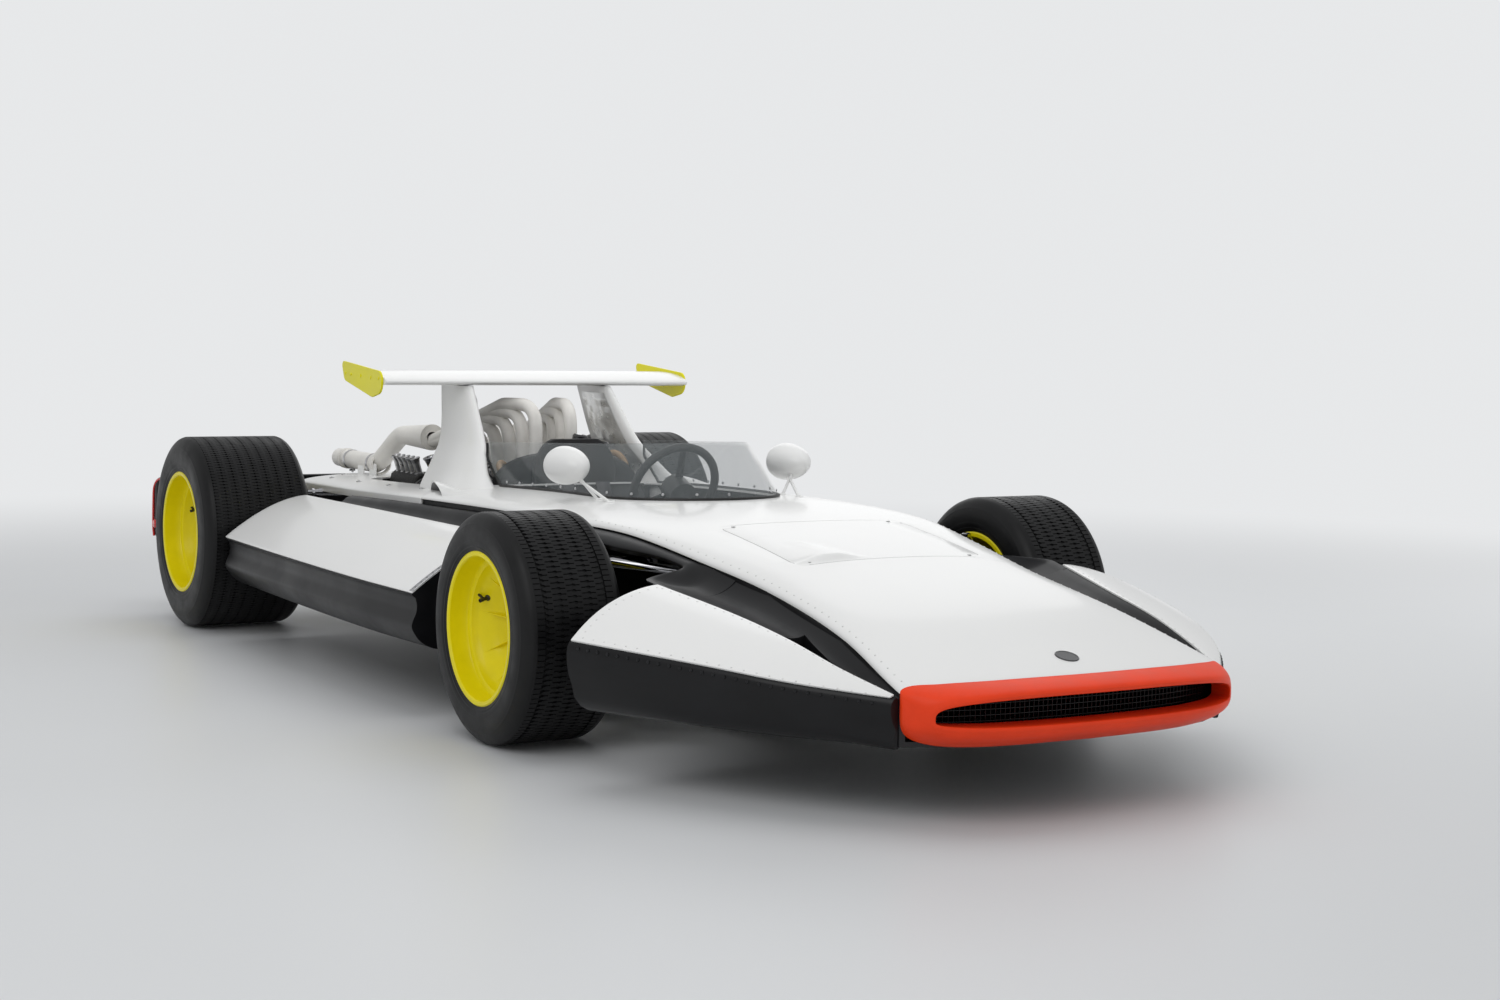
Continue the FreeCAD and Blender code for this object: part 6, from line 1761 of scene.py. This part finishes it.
seat = cushion(seat_line, SEAT_HALF, SEAT_THICK, CHANNELS, 0.014)
seat = seat.made("seat_bucket_padded", vinyl, crease=60.0)
fitted(seat, "chassis", "black_trim", "seat")
head = Piece()
rows = []
HEAD_HALF, HEAD_DEEP = 0.146, 0.050
for z in spaced(0.504, 0.696, 25):
    low = min(z - 0.500, 0.700 - z)
    rim = 1.0 - math.sqrt(max(1.0 - (1.0 - min(low / 0.026, 1.0)) ** 2, 0.0))
    half = HEAD_HALF - 0.022 * rim - 0.058 * max((z - 0.590) / 0.110, 0.0) ** 2.2
    bulge = 0.010 * math.sin(math.pi * (z - 0.500) / 0.200) ** 0.7
    ring = []
    for angle in turns(56):
        c, s = math.cos(angle), math.sin(angle)
        across = half * math.copysign(abs(c) ** 0.35, c)
        deep = math.copysign(abs(s) ** 0.45, s)
        front = HEAD_DEEP / 2 - 0.004
        if deep > 0:
            front = HEAD_DEEP / 2 - 0.010 + bulge * (1.0 - (across / half) ** 2)
        ring.append((-0.500 + deep * front, across, z))
    rows.append(ring)
head.tube(rows, turned=True)
head = head.made("head_restraint_padded", vinyl, crease=60.0)
fitted(head, "chassis", "black_trim", "head_restraint")

# Harness of woven webbing over the seat's back and round the driver's hips.
webbing = finish("woven_webbing", (0.060, 0.060, 0.065), 0.62, mottle=0.15, patch=30.0,
                 grain=900.0, relief=0.6)
straps = Piece()


def strap(path, width, side):
    """A flat strap along path, side being the direction of its width at each point."""
    rows = [[Vector(p) - Vector(side) * width / 2, Vector(p) + Vector(side) * width / 2] for p in path]
    straps.grid(rows)


for y in (0.085, -0.085):
    line = [p for p in seat_line if p.z > 0.215 and p.x < -0.235]
    path = []
    for i, p in enumerate(line):
        path.append((p.x + 0.010, y * (1.0 - 0.25 * i / len(line)), p.z + 0.006))
    strap(path, 0.050, (0, 1, 0))
for side in (1, -1):
    path = curve([(-0.215, side * 0.218, 0.262), (-0.170, side * 0.180, 0.220),
                  (-0.150, side * 0.090, 0.203), (-0.145, side * 0.030, 0.203)], 24)
    strap(path, 0.050, (0.9, 0.0, -0.2))
fitted(thick(straps.made("harness_straps", webbing, crease=50.0), 0.0024, offset=1.0), "chassis",
       "black_trim")
buckle = Piece()
buckle.lathe([(0.0, 0.036), (0.008, 0.036), (0.012, 0.030), (0.013, 0.0)], (-0.142, 0.0, 0.202),
             (0.2, 0, 1), 36)
fitted(buckle.made("harness_buckle", bright_alloy), "chassis", "bare_alloy")

# ---- cowl behind the driver -------------------------------------------------
# A black moulded cowl closes the bulkhead round the head pad, with two round filler caps.
# Tan hoses lead from behind it to the engine.

cowl = Piece()
COWL_FOOT, COWL_HIGH, COWL_HALF = 0.540, 0.112, 0.262
rows = []
for share in spaced(0.0, 1.0, 22):
    row = []
    back = 0.050 * (1.0 - math.sqrt(max(1.0 - share ** 5, 0.0)))
    for a in spaced(0.0, math.pi, 57):
        c, s = math.cos(a), math.sin(a)
        row.append((-0.513 - back, COWL_HALF * share * math.copysign(abs(c) ** 0.75, c),
                    COWL_FOOT + COWL_HIGH * share * abs(s) ** 0.9))
    rows.append(row)
cowl.grid(rows)
fitted(thick(cowl.made("bulkhead_cowl", satin_black, crease=50.0), 0.003), "chassis", "black_panel")
caps = Piece()
for x, y, z, radius in ((-0.560, 0.120, 0.672, 0.030), (-0.590, 0.062, 0.690, 0.026)):
    caps.lathe([(-0.070, radius * 0.7), (-0.018, radius * 0.7), (-0.018, radius), (0.010, radius),
                (0.016, radius * 0.82), (0.016, 0.0)], (x, y, z), (0.1, 0.15, 1), 30)
    for angle in turns(12):
        caps.stud((x + radius * math.cos(angle), y + radius * math.sin(angle), z - 0.004),
                  (math.cos(angle), math.sin(angle), 0), 0.004, 0.002, 8)
fitted(caps.made("filler_caps", disc_black, crease=30.0), "chassis", "black_trim")
tan_rubber = finish("tan_hose", (0.36, 0.24, 0.13), 0.55, mottle=0.12, patch=26.0, grain=300.0, relief=0.3)
# Each hose: the places it leads through, its radius.
HOSES = [
    ([(-0.575, 0.225, 0.560), (-0.600, 0.235, 0.610), (-0.650, 0.215, 0.640), (-0.700, 0.150, 0.600),
      (-0.720, 0.110, 0.560)], 0.0105),
    ([(-0.580, 0.180, 0.545), (-0.615, 0.190, 0.580), (-0.660, 0.170, 0.590), (-0.705, 0.125, 0.560)],
     0.0080),
    ([(-0.580, -0.200, 0.550), (-0.615, -0.215, 0.600), (-0.665, -0.180, 0.610),
      (-0.710, -0.120, 0.560)], 0.0095),
]
hoses = Piece()
for points, radius in HOSES:
    hoses.sweep(curve(points, 28), radius, sides=18)
fitted(hoses.made("tan_hoses", tan_rubber), "chassis", "black_trim")

# ---- steering wheel and dash ------------------------------------------------
# A small three-spoke alloy wheel with a thick black padded rim, behind a pod and round instruments.
# The rim's grip is leather sewn on the inside, and a boss of bolts holds the spokes.

WHEEL_TILT = math.radians(24.0)
WHEEL_AHEAD = Vector((math.cos(WHEEL_TILT), 0.0, -math.sin(WHEEL_TILT)))
WHEEL_UP = Vector((math.sin(WHEEL_TILT), 0.0, math.cos(WHEEL_TILT)))
HUB = Vector((0.172, 0.0, 0.588))
WHEEL_R, GRIP_R = 0.135, 0.0125


def on_wheel(angle, radius, depth=0.0):
    """Place on the steering wheel: round its hub and ahead of its plane."""
    across = Vector((0, math.cos(angle), 0)) * radius
    return HUB + across + WHEEL_UP * math.sin(angle) * radius + WHEEL_AHEAD * depth


leather = finish("black_leather", (0.016, 0.016, 0.016), 0.40, mottle=0.25, patch=24.0, grain=420.0,
                 relief=0.45)
grip = Piece()
grip_radii = [GRIP_R - 0.0006 * (k % 8 == 0) for k in range(120)]
grip.sweep([on_wheel(angle, WHEEL_R) for angle in turns(120)], grip_radii, sides=20, closed=True)
SEAM_R = WHEEL_R - GRIP_R
for angle in turns(90):
    grip.sweep([on_wheel(angle, SEAM_R, -0.003), on_wheel(angle + 0.012, SEAM_R - 0.0006, 0.0),
                on_wheel(angle, SEAM_R, 0.003)], 0.0008, sides=4)
grip.lathe([(-0.016, 0.0), (-0.016, 0.030), (-0.010, 0.040), (0.0, 0.043), (0.058, 0.043), (0.060, 0.0)],
           HUB, WHEEL_AHEAD, 40)
fitted(grip.made("steering_wheel_grip", leather, crease=40.0), "steering_wheel", "black_trim",
       "steering_wheel")
SPOKE_SECTION = ((-1, -0.4), (-0.8, -1), (0.8, -1), (1, -0.4), (1, 0.4), (0.8, 1), (-0.8, 1), (-1, 0.4))
spokes = Piece()
for degrees in (90.0, 210.0, 330.0):
    turn = math.radians(degrees)
    side = (on_wheel(turn + 0.01, 0.1) - on_wheel(turn - 0.01, 0.1)).normalized()
    rows = []
    for r in spaced(0.038, WHEEL_R - 0.006, 12):
        depth = 0.018 * (1.0 - r / WHEEL_R)
        wide = 0.0135 - 0.003 * (r / WHEEL_R)
        middle = on_wheel(turn, r, depth)
        rows.append([middle + side * dx * wide + WHEEL_AHEAD * dy * 0.0022 for dx, dy in SPOKE_SECTION])
    spokes.grid(rows, around=True)
for angle in turns(6, 0.5):
    spokes.stud(on_wheel(angle, 0.034, -0.0125), -WHEEL_AHEAD, 0.0036, 0.003, 6)
spokes.sweep([HUB + WHEEL_AHEAD * 0.055, HUB + WHEEL_AHEAD * 0.080, HUB + WHEEL_AHEAD * 0.420],
             [0.020, 0.0138, 0.0138], sides=24)
fitted(spokes.made("steering_wheel_spokes", disc_black, crease=32.0), "steering_wheel", "black_trim")
pod = Piece()
pod.lathe([(0.186, 0.050), (0.186, 0.062), (0.192, 0.062), (0.250, 0.058), (0.256, 0.045)], HUB,
          WHEEL_AHEAD, 40)
pod_face = HUB + WHEEL_AHEAD * 0.196
pod.lathe([(0.0, 0.0165), (0.0, 0.052)], pod_face, WHEEL_AHEAD, 40)
fitted(pod.made("instrument_pod", satin_black, crease=32.0), "chassis", "black_panel")
dials = Piece()
for y, z, radius in ((0.150, 0.485, 0.030), (0.225, 0.480, 0.022), (-0.150, 0.485, 0.030),
                     (-0.225, 0.480, 0.022)):
    dials.lathe([(0.0, radius), (-0.006, radius), (-0.008, radius - 0.002), (-0.008, radius - 0.004),
                 (-0.004, radius - 0.005), (-0.004, 0.0)], (0.352, y, z), (1, 0, 0), 36)
fitted(dials.made("round_instruments", disc_black, crease=32.0), "chassis", "black_trim")

# ---- rear bumper ------------------------------------------------------------
# A shallow black bar across the tail, open behind and carried by one stay on the gearbox.
# Thin red trims curl round its ends, with a small red lamp low on each.

BAR_REAR, BAR_FRONT, BAR_HALF, BAR_LOW, BAR_HIGH, BAR_ROUND = -2.110, -2.040, 0.920, 0.250, 0.480, 0.030
bar = Piece()
outline = rounded_outline([(-BAR_HALF, BAR_LOW, BAR_ROUND), (BAR_HALF, BAR_LOW, BAR_ROUND),
                           (BAR_HALF, BAR_HIGH, BAR_ROUND), (-BAR_HALF, BAR_HIGH, BAR_ROUND)])
rows = []
for x, inset in ((BAR_FRONT, 0.0), (BAR_REAR + 0.012, 0.0), (BAR_REAR + 0.004, 0.003), (BAR_REAR, 0.010),
                 (BAR_REAR + 0.0002, 0.026), (BAR_REAR + 0.005, 0.031), (BAR_REAR + 0.005, 0.060)):
    rows.append([(x, p.x * (1.0 - inset / BAR_HALF), p.z + (0.365 - p.z) * inset / 0.115) for p in outline])
bar.grid(rows, around=True).cap(rows[-1])
bar = thick(bar.made("rear_bumper_bar", satin_black, crease=40.0), 0.004)
fitted(bar, "chassis", "black_panel", "rear_bumper")
stay = Piece()
for y in (-0.052, 0.052):
    stay.sweep([(-2.106, y, 0.350), (-1.960, y * 0.9, 0.350), (-1.885, y * 0.8, 0.345)], 0.0160, sides=20)
stay.block((-2.104, -0.090, 0.310), (-2.096, 0.090, 0.390))
stay.block((-1.902, -0.062, 0.312), (-1.888, 0.062, 0.388))
fitted(stay.made("rear_bumper_stay", satin_black), "chassis", "black_panel")
bar_rivets = Piece()
for z in (BAR_LOW + 0.020, BAR_HIGH - 0.020):
    rivet_row(bar_rivets, [((BAR_REAR + 0.0002, y, z), (-1, 0, 0)) for y in (0.880, -0.880)], 0.055,
              0.0036, 0.0018)
fitted(bar_rivets.made("rear_bumper_rivets", bolt_black), "chassis", "black_trim")
lamp_red = finish("red_lens", (0.62, 0.012, 0.008), 0.15, coat=0.8, mottle=0.08, patch=40.0, relief=0.02)
trims = Piece()
trims.sweep(curve([(-2.040, 0.906, 0.476), (-2.070, 0.916, 0.470), (-2.098, 0.921, 0.440),
                   (-2.104, 0.922, 0.380), (-2.106, 0.922, 0.300), (-2.100, 0.921, 0.264)], 50),
            0.0042, sides=12)
trims.lathe([(0.0, 0.016), (0.004, 0.016), (0.009, 0.012), (0.011, 0.0)], (-2.085, 0.918, 0.310),
            (0, 1, 0), 28)
fitted(trims.twin().made("red_end_trims", lamp_red), "chassis", "orange_nose")
